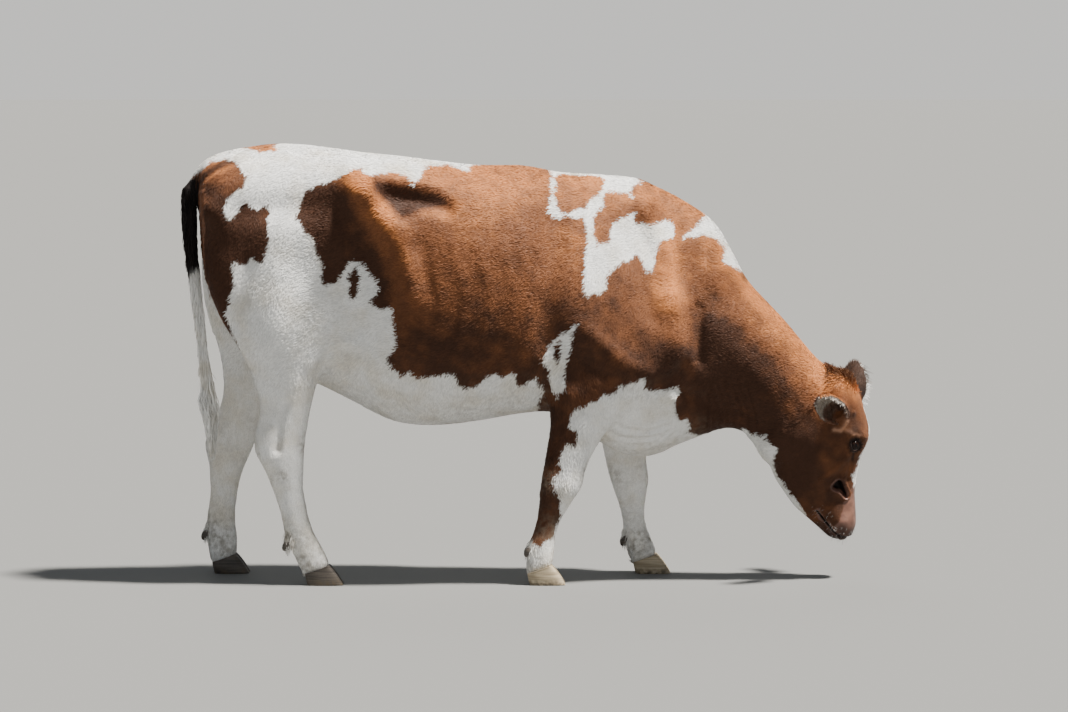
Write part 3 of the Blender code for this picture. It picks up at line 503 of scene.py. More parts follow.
@dataclass
class Skin:
    """One closed skin over the whole body, which the coat covers."""

    coarse: float = 0.0074          # cell of the mesh of the body
    fine: float = 0.0031            # cell of the mesh of head and ears
    seam: float = 0.2535            # x - z where the two meshes are joined, across the neck
    seam_gap: float = 0.004
    coat_depth: float = 0.0040
    face_depth: float = 0.0014
    lid_depth: float = 0.0024       # how far a lid stands over the eyeball
    eye_radius: float = 0.0200
    nostril_depth: float = 0.0250
    withers_rise: float = 0.016
    rounds_body: float = 47.0       # rounds of smoothing
    rounds_neck: float = 80.0
    rounds_leg: float = 12.0
    rounds_shin: float = 8.0
    rounds_tail: float = 6.0
    rounds_foot: float = 4.5
    rounds_ear: float = 3.6

    def build(self) -> bpy.types.Object:
        """Make the skin.

        Returns:
            The skin, riding on the body in place of the flesh.
        """
        body = self.remeshed("body_part", ("trunk", "neck", "head", "tail", "tail_switch",
                                           *("leg_" + name for name in LEGS)), self.coarse)
        head = self.remeshed("head_part", ("neck", "head"), self.fine)
        data = self.joined(body, head)
        self.smooth(data)
        self.shape_body(data)
        self.draw_in(data)
        data = self.refine(data)
        self.shape_head(data)
        LOG.info("skin: %d vertices, %d faces", len(data.vertices), len(data.polygons))
        return dress(new_object("skin", data), "coat", *FLESH)

    def remeshed(self, name: str, nodes: tuple, cell: float) -> bpy.types.Mesh:
        """Fuse solids into one closed mesh of even faces.

        Args:
            name: Name of the mesh.
            nodes: The solids. Those of the head bring their ears and fill their sockets.
            cell: Size of the mesh's cells.

        Returns:
            The mesh.
        """
        mesh = bmesh.new()
        for node in nodes:
            mesh.from_mesh(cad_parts[node].data)
        for side in SIDES:
            place = Matrix.Translation(middle_of("eye_" + side))
            bmesh.ops.create_icosphere(mesh, subdivisions=4, radius=self.eye_radius + 0.002,
                                       matrix=place)
        if "trunk" in nodes:
            for leg in LEGS:
                for part in PARTS:
                    inward = Matrix.Translation(middle_of(f"dewclaw_{leg}_{part}")
                                                + Vector((0.010, 0.0, 0.004)))
                    bmesh.ops.create_icosphere(mesh, subdivisions=2, radius=0.014, matrix=inward)
        else:
            for ear in EARS:
                ear.build(mesh)
        bmesh.ops.triangulate(mesh, faces=mesh.faces)
        thing = new_object(name, mesh)
        fuse = thing.modifiers.new("fuse", "REMESH")
        fuse.mode = "VOXEL"
        fuse.voxel_size = cell
        graph = bpy.context.evaluated_depsgraph_get()
        graph.update()
        data = bpy.data.meshes.new_from_object(thing.evaluated_get(graph))
        bpy.data.objects.remove(thing)
        return data

    def ahead(self, place: Vector) -> bool:
        """Whether a place is on the neck or the head, and not on a foreleg."""
        return place.x > 0.62 and place.z > 0.10 and abs(place.y) < 0.30

    def joined(self, body: bpy.types.Mesh, head: bpy.types.Mesh) -> bpy.types.Mesh:
        """Join the coarse body and the fine head across the neck into one mesh.

        Args:
            body: The coarse mesh.
            head: The fine mesh.

        Returns:
            One closed mesh.
        """
        mesh = bmesh.new()
        normal = Vector((1.0, 0.0, -1.0)).normalized()
        for data, offset, is_head in ((body, 0.0, False), (head, self.seam_gap, True)):
            part = bmesh.new()
            part.from_mesh(data)
            faces = [face for face in part.faces
                     if is_head or self.ahead(face.calc_center_median())]
            edges = list({edge for face in faces for edge in face.edges})
            verts = list({vert for face in faces for vert in face.verts})
            place = Vector((self.seam + offset * math.sqrt(2), 0.0, 0.0))
            bmesh.ops.bisect_plane(part, geom=verts + edges + faces, dist=1e-5, plane_co=place,
                                   plane_no=normal, clear_outer=not is_head, clear_inner=is_head)
            kept = from_bmesh(part, "part")
            mesh.from_mesh(kept)
            bpy.data.meshes.remove(kept)
        rims = [edge for edge in mesh.edges if edge.is_boundary]
        bmesh.ops.bridge_loops(mesh, edges=rims)
        bmesh.ops.triangulate(mesh, faces=[face for face in mesh.faces if len(face.verts) > 4])
        bmesh.ops.recalc_face_normals(mesh, faces=mesh.faces)
        LOG.info("joined: %d open edges left", sum(edge.is_boundary for edge in mesh.edges))
        return from_bmesh(mesh, "skin")

    def smooth(self, data: bpy.types.Mesh) -> None:
        """Smooth the mesh, much on the trunk and little on thin parts.

        Args:
            data: The skin's mesh.
        """
        points = mesh_points(data)
        x, y, z = points.T
        rounds = np.full(len(points), self.rounds_body)
        legs = ramp(z, 0.86, 0.60) * ramp(np.abs(y), 0.06, 0.11) * (x < 0.60)
        rounds += (self.rounds_leg - rounds) * legs
        rounds += (self.rounds_shin - rounds) * ramp(z, 0.46, 0.30) * (x < 0.60)
        rounds += (self.rounds_foot - rounds) * ramp(z, 0.100, 0.080)
        tail = ramp(x, -1.045, -1.070) * ramp(np.abs(y), 0.050, 0.035) * ramp(z, 1.34, 1.30)
        tail = np.maximum(tail, ramp(z, 0.78, 0.70) * (x < -0.98) * (np.abs(y) < 0.055))
        rounds += (self.rounds_tail - rounds) * tail
        fore = ramp(x - z, self.seam + 0.01, self.seam + 0.06) * (z > 0.10) * (x > 0.62)
        rounds += (self.rounds_neck - rounds) * fore
        for ear in EARS:
            along = ear.local(points)[:, 0]
            near = ramp(along, 0.030, 0.075) * (np.abs(y) > 0.06) * (x > 0.85)
            rounds += (self.rounds_ear - rounds) * near
        edges = np.empty(len(data.edges) * 2, dtype=np.int64)
        data.edges.foreach_get("vertices", edges)
        a, b = edges.reshape(-1, 2).T
        count = len(points)
        degree = np.bincount(a, minlength=count) + np.bincount(b, minlength=count)
        for turn in range(int(rounds.max())):
            weight = 0.5 * np.clip(rounds - turn, 0.0, 1.0)
            for axis in range(3):
                column = points[:, axis]
                mean = (np.bincount(a, column[b], count) + np.bincount(b, column[a], count))
                points[:, axis] = column + weight * (mean / degree - column)
        place_points(data, points)

    def shape_body(self, data: bpy.types.Mesh) -> None:
        """Raise bones and muscles and sink the hollows and folds of the body.

        Args:
            data: The skin's mesh.
        """
        points, normals = skin_of(data)
        flat = points[:, [0, 2]]
        lift = np.zeros(len(points))
        sideways = np.abs(normals[:, 1])
        for form in BODY_FORMS:
            bump = form.height * bell(reach_to_line(flat, form.line) / form.reach)
            if form.side:
                bump *= points[:, 1] * form.side > 0
            lift += bump * sideways
        withers = bell((flat[:, 0] - 0.395) / 0.085) * ramp(flat[:, 1], 1.16, 1.28)
        lift += self.withers_rise * withers
        trunk = (points[:, 2] > 0.42) * (points[:, 0] > 0.2) * (points[:, 0] < 0.8)
        for folds, depth in ((BRISKET_FOLDS, 0.0040), (NECK_FOLDS, 0.0028)):
            for line in folds:
                away = reach_to_line(flat, line)
                fold = -depth * bell(away / 0.006) + 0.6 * depth * bell((away - 0.012) / 0.007)
                lift += fold * trunk * sideways
        place_points(data, points + normals * lift[:, None])

    def draw_in(self, data: bpy.types.Mesh) -> None:
        """Draw the skin in by the depth of the coat.

        Args:
            data: The skin's mesh.
        """
        points, normals = skin_of(data)
        x, y, z = points.T
        depth = np.full(len(points), self.coat_depth)
        depth += (self.face_depth - depth) * ramp(x - z, self.seam, self.seam + 0.15) * (z > 0.1)
        depth += (0.0012 - depth) * ramp(z, 0.50, 0.30) * (x < 0.60)
        depth += (0.0010 - depth) * (x < -1.05) * (z < 1.30)
        soles = (z < 0.085) * (normals[:, 2] < -0.8) * (x < 0.60)
        depth = np.where(soles, -0.006, depth)
        points = points - normals * depth[:, None]
        heights, ahead, _ = np.array(Switch.line).T
        tassel = (x < -0.98) & (np.abs(y) < 0.060) & (z < 0.72)
        share = (1.0 - 0.62 * ramp(z, 0.68, 0.62))[tassel]
        middle = np.interp(z[tassel], heights, ahead)
        points[tassel, 0] = middle + (points[tassel, 0] - middle) * share
        points[tassel, 1] *= share
        points[tassel, 2] = np.maximum(points[tassel, 2], 0.42)
        place_points(data, points)

    def refine(self, data: bpy.types.Mesh) -> bpy.types.Mesh:
        """Split the faces round eyes, nostrils and mouth.

        Args:
            data: The skin's mesh.

        Returns:
            The finer mesh.
        """
        mesh = bmesh.new()
        mesh.from_mesh(data)
        for reach in (0.044, 0.027):
            points = np.array([vert.co for vert in mesh.verts])
            near = np.zeros(len(points), dtype=bool)
            for side in SIDES:
                away = np.linalg.norm(points - np.array(middle_of("eye_" + side)), axis=1)
                near |= away < reach
            head = HEAD.straight(points)
            head[:, 1] = np.abs(head[:, 1])
            front = head[:, 0] > 0.90
            close = (front & (head[:, 1] > 0.025) & (head[:, 2] < 0.38)
                     & (depth_inside(head[:, [0, 2]], NOSTRIL) > -reach * 0.35))
            close |= np.where(front & (head[:, 2] < 0.30),
                              reach_to_line(head[:, [0, 2]], MOUTH), 1.0) < reach * 0.45
            near |= close
            mesh.verts.ensure_lookup_table()
            chosen = {mesh.verts[index] for index in np.nonzero(near)[0]}
            edges = [edge for edge in mesh.edges
                     if edge.verts[0] in chosen and edge.verts[1] in chosen]
            bmesh.ops.subdivide_edges(mesh, edges=edges, cuts=1, use_grid_fill=True)
        bmesh.ops.triangulate(mesh, faces=[face for face in mesh.faces if len(face.verts) > 4])
        bpy.data.meshes.remove(data)
        return from_bmesh(mesh, "skin")

    def shape_head(self, data: bpy.types.Mesh) -> None:
        """Shape brows, lids, nostrils, mouth and the folds of the face.

        Args:
            data: The skin's mesh.
        """
        points, normals = skin_of(data)
        head = HEAD.straight(points)
        mirrored = np.stack((head[:, 0], np.abs(head[:, 1]), head[:, 2]), axis=1)
        face = (head[:, 0] > 0.80) & (head[:, 2] < 0.75) & (head[:, 2] > 0.10)
        here = mirrored[face]
        lift = np.zeros(len(here))
        for form in HEAD_FORMS:
            lift += form.height * bell(reach_to_line(here, form.line) / form.reach)
        away = reach_to_line(here[:, [0, 2]], MOUTH)
        behind = here[:, 0] + 0.75 * here[:, 2] < 1.140
        cut, lip = -0.0080 * bell(away / 0.0034), 0.0030 * bell((away - 0.010) / 0.006)
        lift += cut + lip - 0.0045 * behind * bell((away - 0.009) / 0.010)
        inside = depth_inside(here[:, [0, 2]], NOSTRIL)
        side = here[:, 1] > 0.030
        lift -= self.nostril_depth * ramp(inside, -0.0020, 0.0092) * side
        wing = 0.0024 + 0.0034 * ramp(here[:, 0] - here[:, 2], 0.715, 0.755)
        lift += wing * bell((inside + 0.0058) / 0.0046) * side
        points[face] += normals[face] * lift[:, None]
        for name in SIDES:
            self.shape_lids(points, Eye(name))
        place_points(data, points)

    def shape_lids(self, points: np.ndarray, eye: "Eye") -> None:
        """Open the skin over an eyeball and wrap the lids round it.

        Args:
            points: The skin's places, which are changed.
            eye: The eye.
        """
        local = eye.local(points)
        along, up, out = local.T
        away = np.linalg.norm(local, axis=1)
        near = (away < 0.040) & (out > -0.006)
        along, up, out, away = along[near], up[near], out[near], away[near]
        lean = up + 0.0022 * (along / eye.half_length) ** 2
        height = np.where(lean > 0, eye.upper, eye.lower)
        edge = np.sqrt((along / eye.half_length) ** 2 + (lean / height) ** 2)
        lid = self.eye_radius + self.lid_depth
        inside = self.eye_radius - 0.0036
        rim = lid - 0.0006 * bell((edge - 1.5) / 0.16) * np.sign(up)
        rim += 0.0016 * bell((edge - 1.14) / 0.12)
        wanted = inside + (rim - inside) * ramp(edge, 0.93, 1.06)
        hold = ramp(edge, 2.1, 1.35)
        held = np.maximum(away, wanted) * (1 - hold) + wanted * hold
        radius = np.where(edge < 1.06, wanted, held)
        eased = np.where(away > radius, away + (radius - away) * hold, radius)
        radius = np.where(edge < 1.06, radius, eased)
        folds = bell((edge - 1.62) / 0.07) + 0.7 * bell((edge - 1.95) / 0.08)
        swell = bell((edge - 1.40) / 0.12) + bell((edge - 1.78) / 0.08)
        radius += (0.0012 * swell - 0.0020 * folds) * np.where(up > 0, 1.0, 0.6)
        places = local[near] / away[:, None] * radius[:, None]
        points[near] = eye.world(places)


# ---- Eyes and hooves ----------------------------------------------------------------------
@dataclass(frozen=True)
class Eye:
    """An eyeball, and the frame of its opening between the lids."""

    side: str
    half_length: float = 0.0192     # of the opening, from corner to corner
    upper: float = 0.0160
    lower: float = 0.0132
    radius: float = 0.0197

    def axes(self) -> np.ndarray:
        """The directions of the opening.

        Returns:
            Rows along the opening to its rear corner, up across it, and outwards.
        """
        sign = 1.0 if self.side == "left" else -1.0
        out = unit(np.array((0.42, sign * 0.90, 0.06)))
        along = np.array((-0.30, 0.0, 0.95))
        along = unit(along - out * (along @ out))
        up = np.cross(out, along)
        if up[0] < 0:
            up = -up
        axes = np.stack((along, up, out))
        return axes @ HEAD.matrix().T

    def centre(self) -> np.ndarray:
        """Middle of the eyeball."""
        return np.array(middle_of("eye_" + self.side))

    def local(self, points: np.ndarray) -> np.ndarray:
        """Places in the eye's own frame."""
        return (points - self.centre()) @ self.axes().T

    def world(self, places: np.ndarray) -> np.ndarray:
        """Places on the model."""
        return places @ self.axes() + self.centre()

    def build(self, finish: bpy.types.Material) -> bpy.types.Object:
        """Make the eyeball with its iris and pupil.

        Args:
            finish: The material of the eye.

        Returns:
            The eyeball.
        """
        mesh = bmesh.new()
        bmesh.ops.create_uvsphere(mesh, u_segments=64, v_segments=40, radius=self.radius)
        places = np.array([vert.co for vert in mesh.verts])
        ahead = places[:, 2] / self.radius
        places *= (1.0 + 0.012 * ramp(ahead, 0.80, 0.95))[:, None]
        for vert, place in zip(mesh.verts, self.world(places)):
            vert.co = Vector(place)
        bmesh.ops.recalc_face_normals(mesh, faces=mesh.faces)
        ball = new_object("eyeball_" + self.side, mesh)
        across = np.sqrt(places[:, 0] ** 2 + places[:, 1] ** 2) * np.sign(places[:, 2]).clip(0)
        across[places[:, 2] < 0] = self.radius
        store(ball.data, "from_axis", across / self.radius)
        pupil = np.sqrt((places[:, 0] / 0.0062) ** 2 + (places[:, 1] / 0.0032) ** 2)
        pupil[places[:, 2] < 0] = 5.0
        store(ball.data, "from_pupil", pupil)
        ball.data.materials.append(finish)
        return dress(ball, "eye", "eye_" + self.side)


@dataclass(frozen=True)
class Claw:
    """One claw of a foot, with its growth rings."""

    node: str
    outer: float                    # sign of y on the side away from the other claw
    levels: int = 12
    points: int = 40
    toe: float = 0.066
    heel: float = 0.052
    half: float = 0.0235
    front: float = 0.064            # height of the top edge in front
    rear: float = 0.036
    ahead: float = 0.020            # where the two heights are met, from the claw's middle
    behind: float = 0.062
    slope: float = 0.72

    def height(self, x: float) -> float:
        """Level of the top edge, x ahead of the claw's middle."""
        return self.rear + (self.front - self.rear) * (x + self.behind) / (self.ahead
                                                                         + self.behind)

    def build(self, finish: bpy.types.Material) -> bpy.types.Object:
        """Make the claw.

        Args:
            finish: The horn.

        Returns:
            The claw, in place of its solid.
        """
        low, high = (Vector(corner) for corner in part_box(self.node))
        middle, centre = high.x - self.toe, (low.y + high.y) / 2
        mesh = bmesh.new()
        rings = []
        for level in range(self.levels + 2):
            share = min(max(level - 1, 0) / self.levels, 1.0)
            sole = 0.955 if level == 0 else 1.0
            bulge = 0.0008 * math.sin(share * 39.0) + 0.0014 * math.sin(share * math.pi)
            ring = []
            for index in range(self.points):
                angle = math.tau * index / self.points
                fore, side = math.cos(angle), math.sin(angle)
                reach = (self.toe if fore > 0 else self.heel) * sole
                x = reach * math.copysign(abs(fore) ** 0.85, fore)
                x -= share * (self.slope * self.front * max(fore, 0.0) + 0.008 * max(-fore, 0.0))
                width = self.half * (1.0 if side * self.outer > 0 else 0.95) * sole
                width *= (1 - 0.12 * share) * math.copysign(abs(side) ** 0.80, side)
                pinch = 1.0 - 0.16 * max(fore, 0.0) ** 2 * (side * self.outer < 0)
                swell = 1.0 + bulge / self.half
                rise = share * self.height(x) + (0.0012 if level else 0.0)
                ring.append(Vector((middle + x + bulge * fore * 0.6,
                                    centre + width * pinch * swell, rise)))
            rings.append(ring)
        tube(mesh, rings)
        claw = new_object(self.node + "_horn", mesh)
        claw.data.set_sharp_from_angle(angle=math.radians(50))
        claw.data.materials.append(finish)
        return dress(claw, "horn", self.node)


@dataclass(frozen=True)
class Dewclaw:
    """A small blunt claw behind a fetlock."""

    node: str
    radii: tuple = (0.0138, 0.0128, 0.0195)
    tilt: float = math.radians(35)

    def build(self, finish: bpy.types.Material) -> bpy.types.Object:
        """Make the dewclaw.

        Args:
            finish: The horn.

        Returns:
            The dewclaw, in place of its solid.
        """
        mesh = bmesh.new()
        place = (Matrix.Translation(middle_of(self.node)) @ Matrix.Rotation(self.tilt, 4, "Y")
                 @ Matrix.Diagonal((*self.radii, 1.0)))
        bmesh.ops.create_uvsphere(mesh, u_segments=24, v_segments=18, radius=1.0)
        for vert in mesh.verts:
            ring = 0.02 * math.sin(vert.co.z * 16.0)
            vert.co.x *= 1.0 + ring - 0.10 * max(-vert.co.z, 0.0)
            vert.co.y *= 1.0 + ring - 0.10 * max(-vert.co.z, 0.0)
            vert.co = place @ vert.co
        claw = new_object(self.node + "_horn", mesh)
        claw.data.materials.append(finish)
        return dress(claw, "horn", self.node)


# ---- Markings -----------------------------------------------------------------------------
@dataclass(frozen=True)
class Flank:
    """The patches of one side of the coat, as outlines in x and z."""

    browns: tuple
    whites: tuple
    islands: tuple                  # browns inside the whites

    def depth(self, points: np.ndarray) -> np.ndarray:
        """How deep each place lies in brown, negative in white.

        Args:
            points: Places with x and z.

        Returns:
            Distances to the nearest edge of a patch.
        """
        depth = np.maximum.reduce([depth_inside(points, line) for line in self.browns])
        for line in self.whites:
            depth = np.minimum(depth, -depth_inside(points, line))
        for line in self.islands:
            depth = np.maximum(depth, depth_inside(points, line))
        return depth


THROAT_WHITE = ((0.725, 0.495), (0.792, 0.485), (0.806, 0.457), (0.828, 0.437), (0.820, 0.408),
                (0.822, 0.378), (0.834, 0.342), (0.876, 0.286), (0.934, 0.212), (0.900, 0.190),
                (0.800, 0.310), (0.715, 0.420))

RIGHT_SIDE = Flank(
    browns=(
        ((-1.094, 1.346), (-1.055, 1.375), (-1.006, 1.398), (-0.954, 1.395), (-0.937, 1.369),
         (-0.905, 1.346), (-0.918, 1.310), (-0.950, 1.297), (-0.973, 1.277), (-0.988, 1.241),
         (-0.967, 1.202), (-0.937, 1.232), (-0.911, 1.262), (-0.891, 1.244), (-0.872, 1.244),
         (-0.855, 1.254), (-0.842, 1.235), (-0.836, 1.173), (-0.839, 1.127), (-0.849, 1.075),
         (-0.872, 1.068), (-0.895, 1.084), (-0.914, 1.061), (-0.937, 1.058), (-0.960, 1.070),
         (-0.957, 0.996), (-0.967, 0.937), (-0.986, 0.901), (-0.970, 0.852), (-0.943, 0.777),
         (-0.962, 0.770), (-0.995, 0.850), (-1.060, 1.000), (-1.140, 1.200), (-1.140, 1.330)),
        ((-0.930, 1.480), (-0.920, 1.432), (-0.866, 1.416), (-0.822, 1.424), (-0.810, 1.480)),
        ((-0.552, 1.052), (-0.541, 1.034), (-0.537, 1.012), (-0.546, 0.986), (-0.543, 0.966),
         (-0.562, 0.938), (-0.578, 0.966), (-0.570, 0.992), (-0.575, 1.016)),
        ((-0.561, 1.362), (-0.530, 1.366), (-0.522, 1.344), (-0.470, 1.346), (-0.414, 1.356),
         (-0.385, 1.340), (-0.365, 1.310), (-0.336, 1.342), (-0.320, 1.369), (-0.254, 1.375),
         (-0.216, 1.360), (-0.189, 1.356), (-0.159, 1.375), (-0.108, 1.386), (-0.095, 1.480),
         (0.700, 1.480), (1.300, 1.050), (1.300, 0.020), (0.820, 0.020), (0.600, 0.380),
         (0.560, -0.060), (-0.070, -0.060), (-0.010, 0.300), (0.038, 0.560), (0.060, 0.660),
         (0.043, 0.664), (0.030, 0.692), (0.001, 0.669), (-0.025, 0.663), (-0.032, 0.708),
         (-0.048, 0.700), (-0.075, 0.695), (-0.094, 0.702), (-0.133, 0.689), (-0.156, 0.666),
         (-0.202, 0.650), (-0.225, 0.663), (-0.228, 0.699), (-0.250, 0.704), (-0.277, 0.699),
         (-0.326, 0.695), (-0.356, 0.686), (-0.382, 0.705), (-0.408, 0.692), (-0.434, 0.718),
         (-0.444, 0.751), (-0.421, 0.793), (-0.424, 0.849), (-0.434, 0.911), (-0.463, 0.918),
         (-0.490, 0.911), (-0.503, 0.941), (-0.473, 0.970), (-0.480, 0.999), (-0.503, 1.029),
         (-0.532, 1.065), (-0.556, 1.072), (-0.575, 1.058), (-0.597, 1.022), (-0.610, 0.999),
         (-0.650, 0.983), (-0.666, 1.009), (-0.656, 1.052), (-0.676, 1.094), (-0.682, 1.140),
         (-0.715, 1.169), (-0.733, 1.192), (-0.748, 1.212), (-0.728, 1.254), (-0.718, 1.293),
         (-0.690, 1.312), (-0.656, 1.323), (-0.620, 1.329), (-0.591, 1.349)),
    ),
    whites=(
        ((0.087, 1.480), (0.092, 1.360), (0.084, 1.313), (0.090, 1.288), (0.088, 1.264),
         (0.078, 1.225), (0.106, 1.205), (0.132, 1.212), (0.156, 1.204), (0.188, 1.203),
         (0.208, 1.155), (0.201, 1.105), (0.198, 1.052), (0.187, 1.020), (0.190, 0.995),
         (0.188, 0.968), (0.212, 0.955), (0.230, 0.962), (0.252, 0.972), (0.270, 0.990),
         (0.266, 1.006), (0.272, 1.022), (0.290, 1.050), (0.330, 1.068), (0.370, 1.081),
         (0.386, 1.071), (0.400, 1.026), (0.424, 1.028), (0.428, 1.080), (0.430, 1.104),
         (0.448, 1.128), (0.498, 1.143), (0.491, 1.173), (0.465, 1.199), (0.435, 1.179),
         (0.400, 1.188), (0.374, 1.186), (0.362, 1.200), (0.372, 1.214), (0.362, 1.262),
         (0.350, 1.290), (0.372, 1.312), (0.400, 1.308), (0.450, 1.294), (0.470, 1.480)),
        ((0.177, 0.869), (0.166, 0.848), (0.154, 0.833), (0.158, 0.812), (0.152, 0.793),
         (0.139, 0.748), (0.131, 0.705), (0.128, 0.663), (0.099, 0.624), (0.082, 0.643),
         (0.076, 0.718), (0.053, 0.725), (0.053, 0.757), (0.079, 0.787), (0.112, 0.826)),
        ((0.524, 1.137), (0.540, 1.153), (0.556, 1.163), (0.612, 1.215), (0.628, 1.300),
         (0.790, 1.050), (0.710, 1.014), (0.655, 1.056), (0.662, 1.096), (0.642, 1.116),
         (0.620, 1.134), (0.576, 1.144)),
        ((0.563, 0.483), (0.537, 0.493), (0.538, 0.520), (0.530, 0.548), (0.504, 0.532),
         (0.488, 0.565), (0.488, 0.604), (0.510, 0.637), (0.507, 0.659), (0.475, 0.643),
         (0.432, 0.646), (0.386, 0.656), (0.396, 0.692), (0.360, 0.682), (0.331, 0.666),
         (0.314, 0.669), (0.291, 0.643), (0.268, 0.640), (0.242, 0.627), (0.210, 0.604),
         (0.177, 0.594), (0.148, 0.575), (0.144, 0.545), (0.138, 0.522), (0.167, 0.512),
         (0.161, 0.473), (0.128, 0.467), (0.115, 0.434), (0.108, 0.405), (0.115, 0.388),
         (0.086, 0.359), (0.095, 0.320), (0.108, 0.280), (0.112, 0.235), (0.086, 0.166),
         (0.050, 0.127), (0.017, 0.146), (-0.040, 0.152), (-0.060, -0.060), (0.750, -0.060),
         (0.640, 0.440)),
        THROAT_WHITE,
    ),
    islands=(
        ((0.099, 1.326), (0.115, 1.340), (0.131, 1.352), (0.170, 1.346), (0.216, 1.349),
         (0.265, 1.333), (0.259, 1.300), (0.246, 1.280), (0.229, 1.264), (0.193, 1.238),
         (0.160, 1.234), (0.125, 1.222), (0.108, 1.241), (0.099, 1.300)),
        ((0.262, 1.286), (0.290, 1.290), (0.314, 1.287), (0.350, 1.276), (0.385, 1.262),
         (0.385, 1.222), (0.352, 1.216), (0.308, 1.202), (0.285, 1.179), (0.279, 1.150),
         (0.272, 1.126), (0.242, 1.117), (0.226, 1.150), (0.229, 1.196), (0.246, 1.230),
         (0.262, 1.246)),
        ((0.102, 0.790), (0.118, 0.808), (0.112, 0.768), (0.104, 0.735), (0.095, 0.752)),
    ),
)

LEFT_SIDE = Flank(
    browns=(
        ((-0.930, 1.480), (-0.950, 1.400), (-1.020, 1.385), (-1.090, 1.345), (-1.140, 1.290),
         (-1.110, 1.180), (-1.040, 1.120), (-0.980, 1.060), (-0.930, 1.085), (-0.880, 1.050),
         (-0.830, 1.110), (-0.770, 1.150), (-0.785, 1.240), (-0.745, 1.310), (-0.790, 1.370),
         (-0.810, 1.480)),
        ((-0.095, 1.480), (0.079, 1.480), (0.092, 1.330), (0.060, 1.220), (0.115, 1.130),
         (0.100, 1.000), (0.030, 0.930), (0.010, 0.820), (-0.060, 0.770), (-0.100, 0.700),
         (-0.170, 0.735), (-0.240, 0.700), (-0.320, 0.760), (-0.410, 0.735), (-0.450, 0.830),
         (-0.540, 0.865), (-0.600, 0.960), (-0.575, 1.060), (-0.655, 1.150), (-0.630, 1.260),
         (-0.540, 1.310), (-0.440, 1.285), (-0.340, 1.325), (-0.240, 1.300), (-0.160, 1.370)),
        ((0.373, 1.480), (0.700, 1.480), (1.300, 1.050), (1.300, 0.020), (0.820, 0.020),
         (0.720, 0.340), (0.660, 0.500), (0.600, 0.585), (0.520, 0.640), (0.470, 0.740),
         (0.400, 0.810), (0.330, 0.760), (0.240, 0.800), (0.200, 0.910), (0.260, 1.010),
         (0.235, 1.110), (0.310, 1.180), (0.325, 1.270), (0.365, 1.320)),
        ((-0.720, 0.960), (-0.680, 1.000), (-0.640, 0.930), (-0.665, 0.850), (-0.720, 0.880)),
    ),
    whites=(
        ((0.612, 1.215), (0.628, 1.300), (0.790, 1.050), (0.710, 1.014), (0.655, 1.045),
         (0.640, 1.100), (0.590, 1.120), (0.570, 1.160)),
        THROAT_WHITE,
    ),
    islands=(),
)


# Outlines of painted shade: the lower side of the neck, and the hollow of the flank under the
# loin.
NECK_SHADE = rounded(((0.570, 0.880), (0.640, 0.875), (0.720, 0.835), (0.800, 0.780),
                      (0.870, 0.700), (0.940, 0.625), (0.960, 0.560), (0.950, 0.250),
                      (0.700, 0.250), (0.560, 0.500)))
FLANK_SHADE = ((-0.490, 1.318), (-0.380, 1.296), (-0.262, 1.262), (-0.330, 1.238),
               (-0.400, 1.205), (-0.432, 1.236))


def on_tail(points: np.ndarray, top: float = 1.335) -> np.ndarray:
    """Which places lie on the hanging tail."""
    x, y, z = points.T
    return (x < -1.045) & (np.abs(y) < 0.045) & (z < top)


MASKS = ("mark", "bare", "dark", "dirt", "bleach_and_painted_light", "inner")


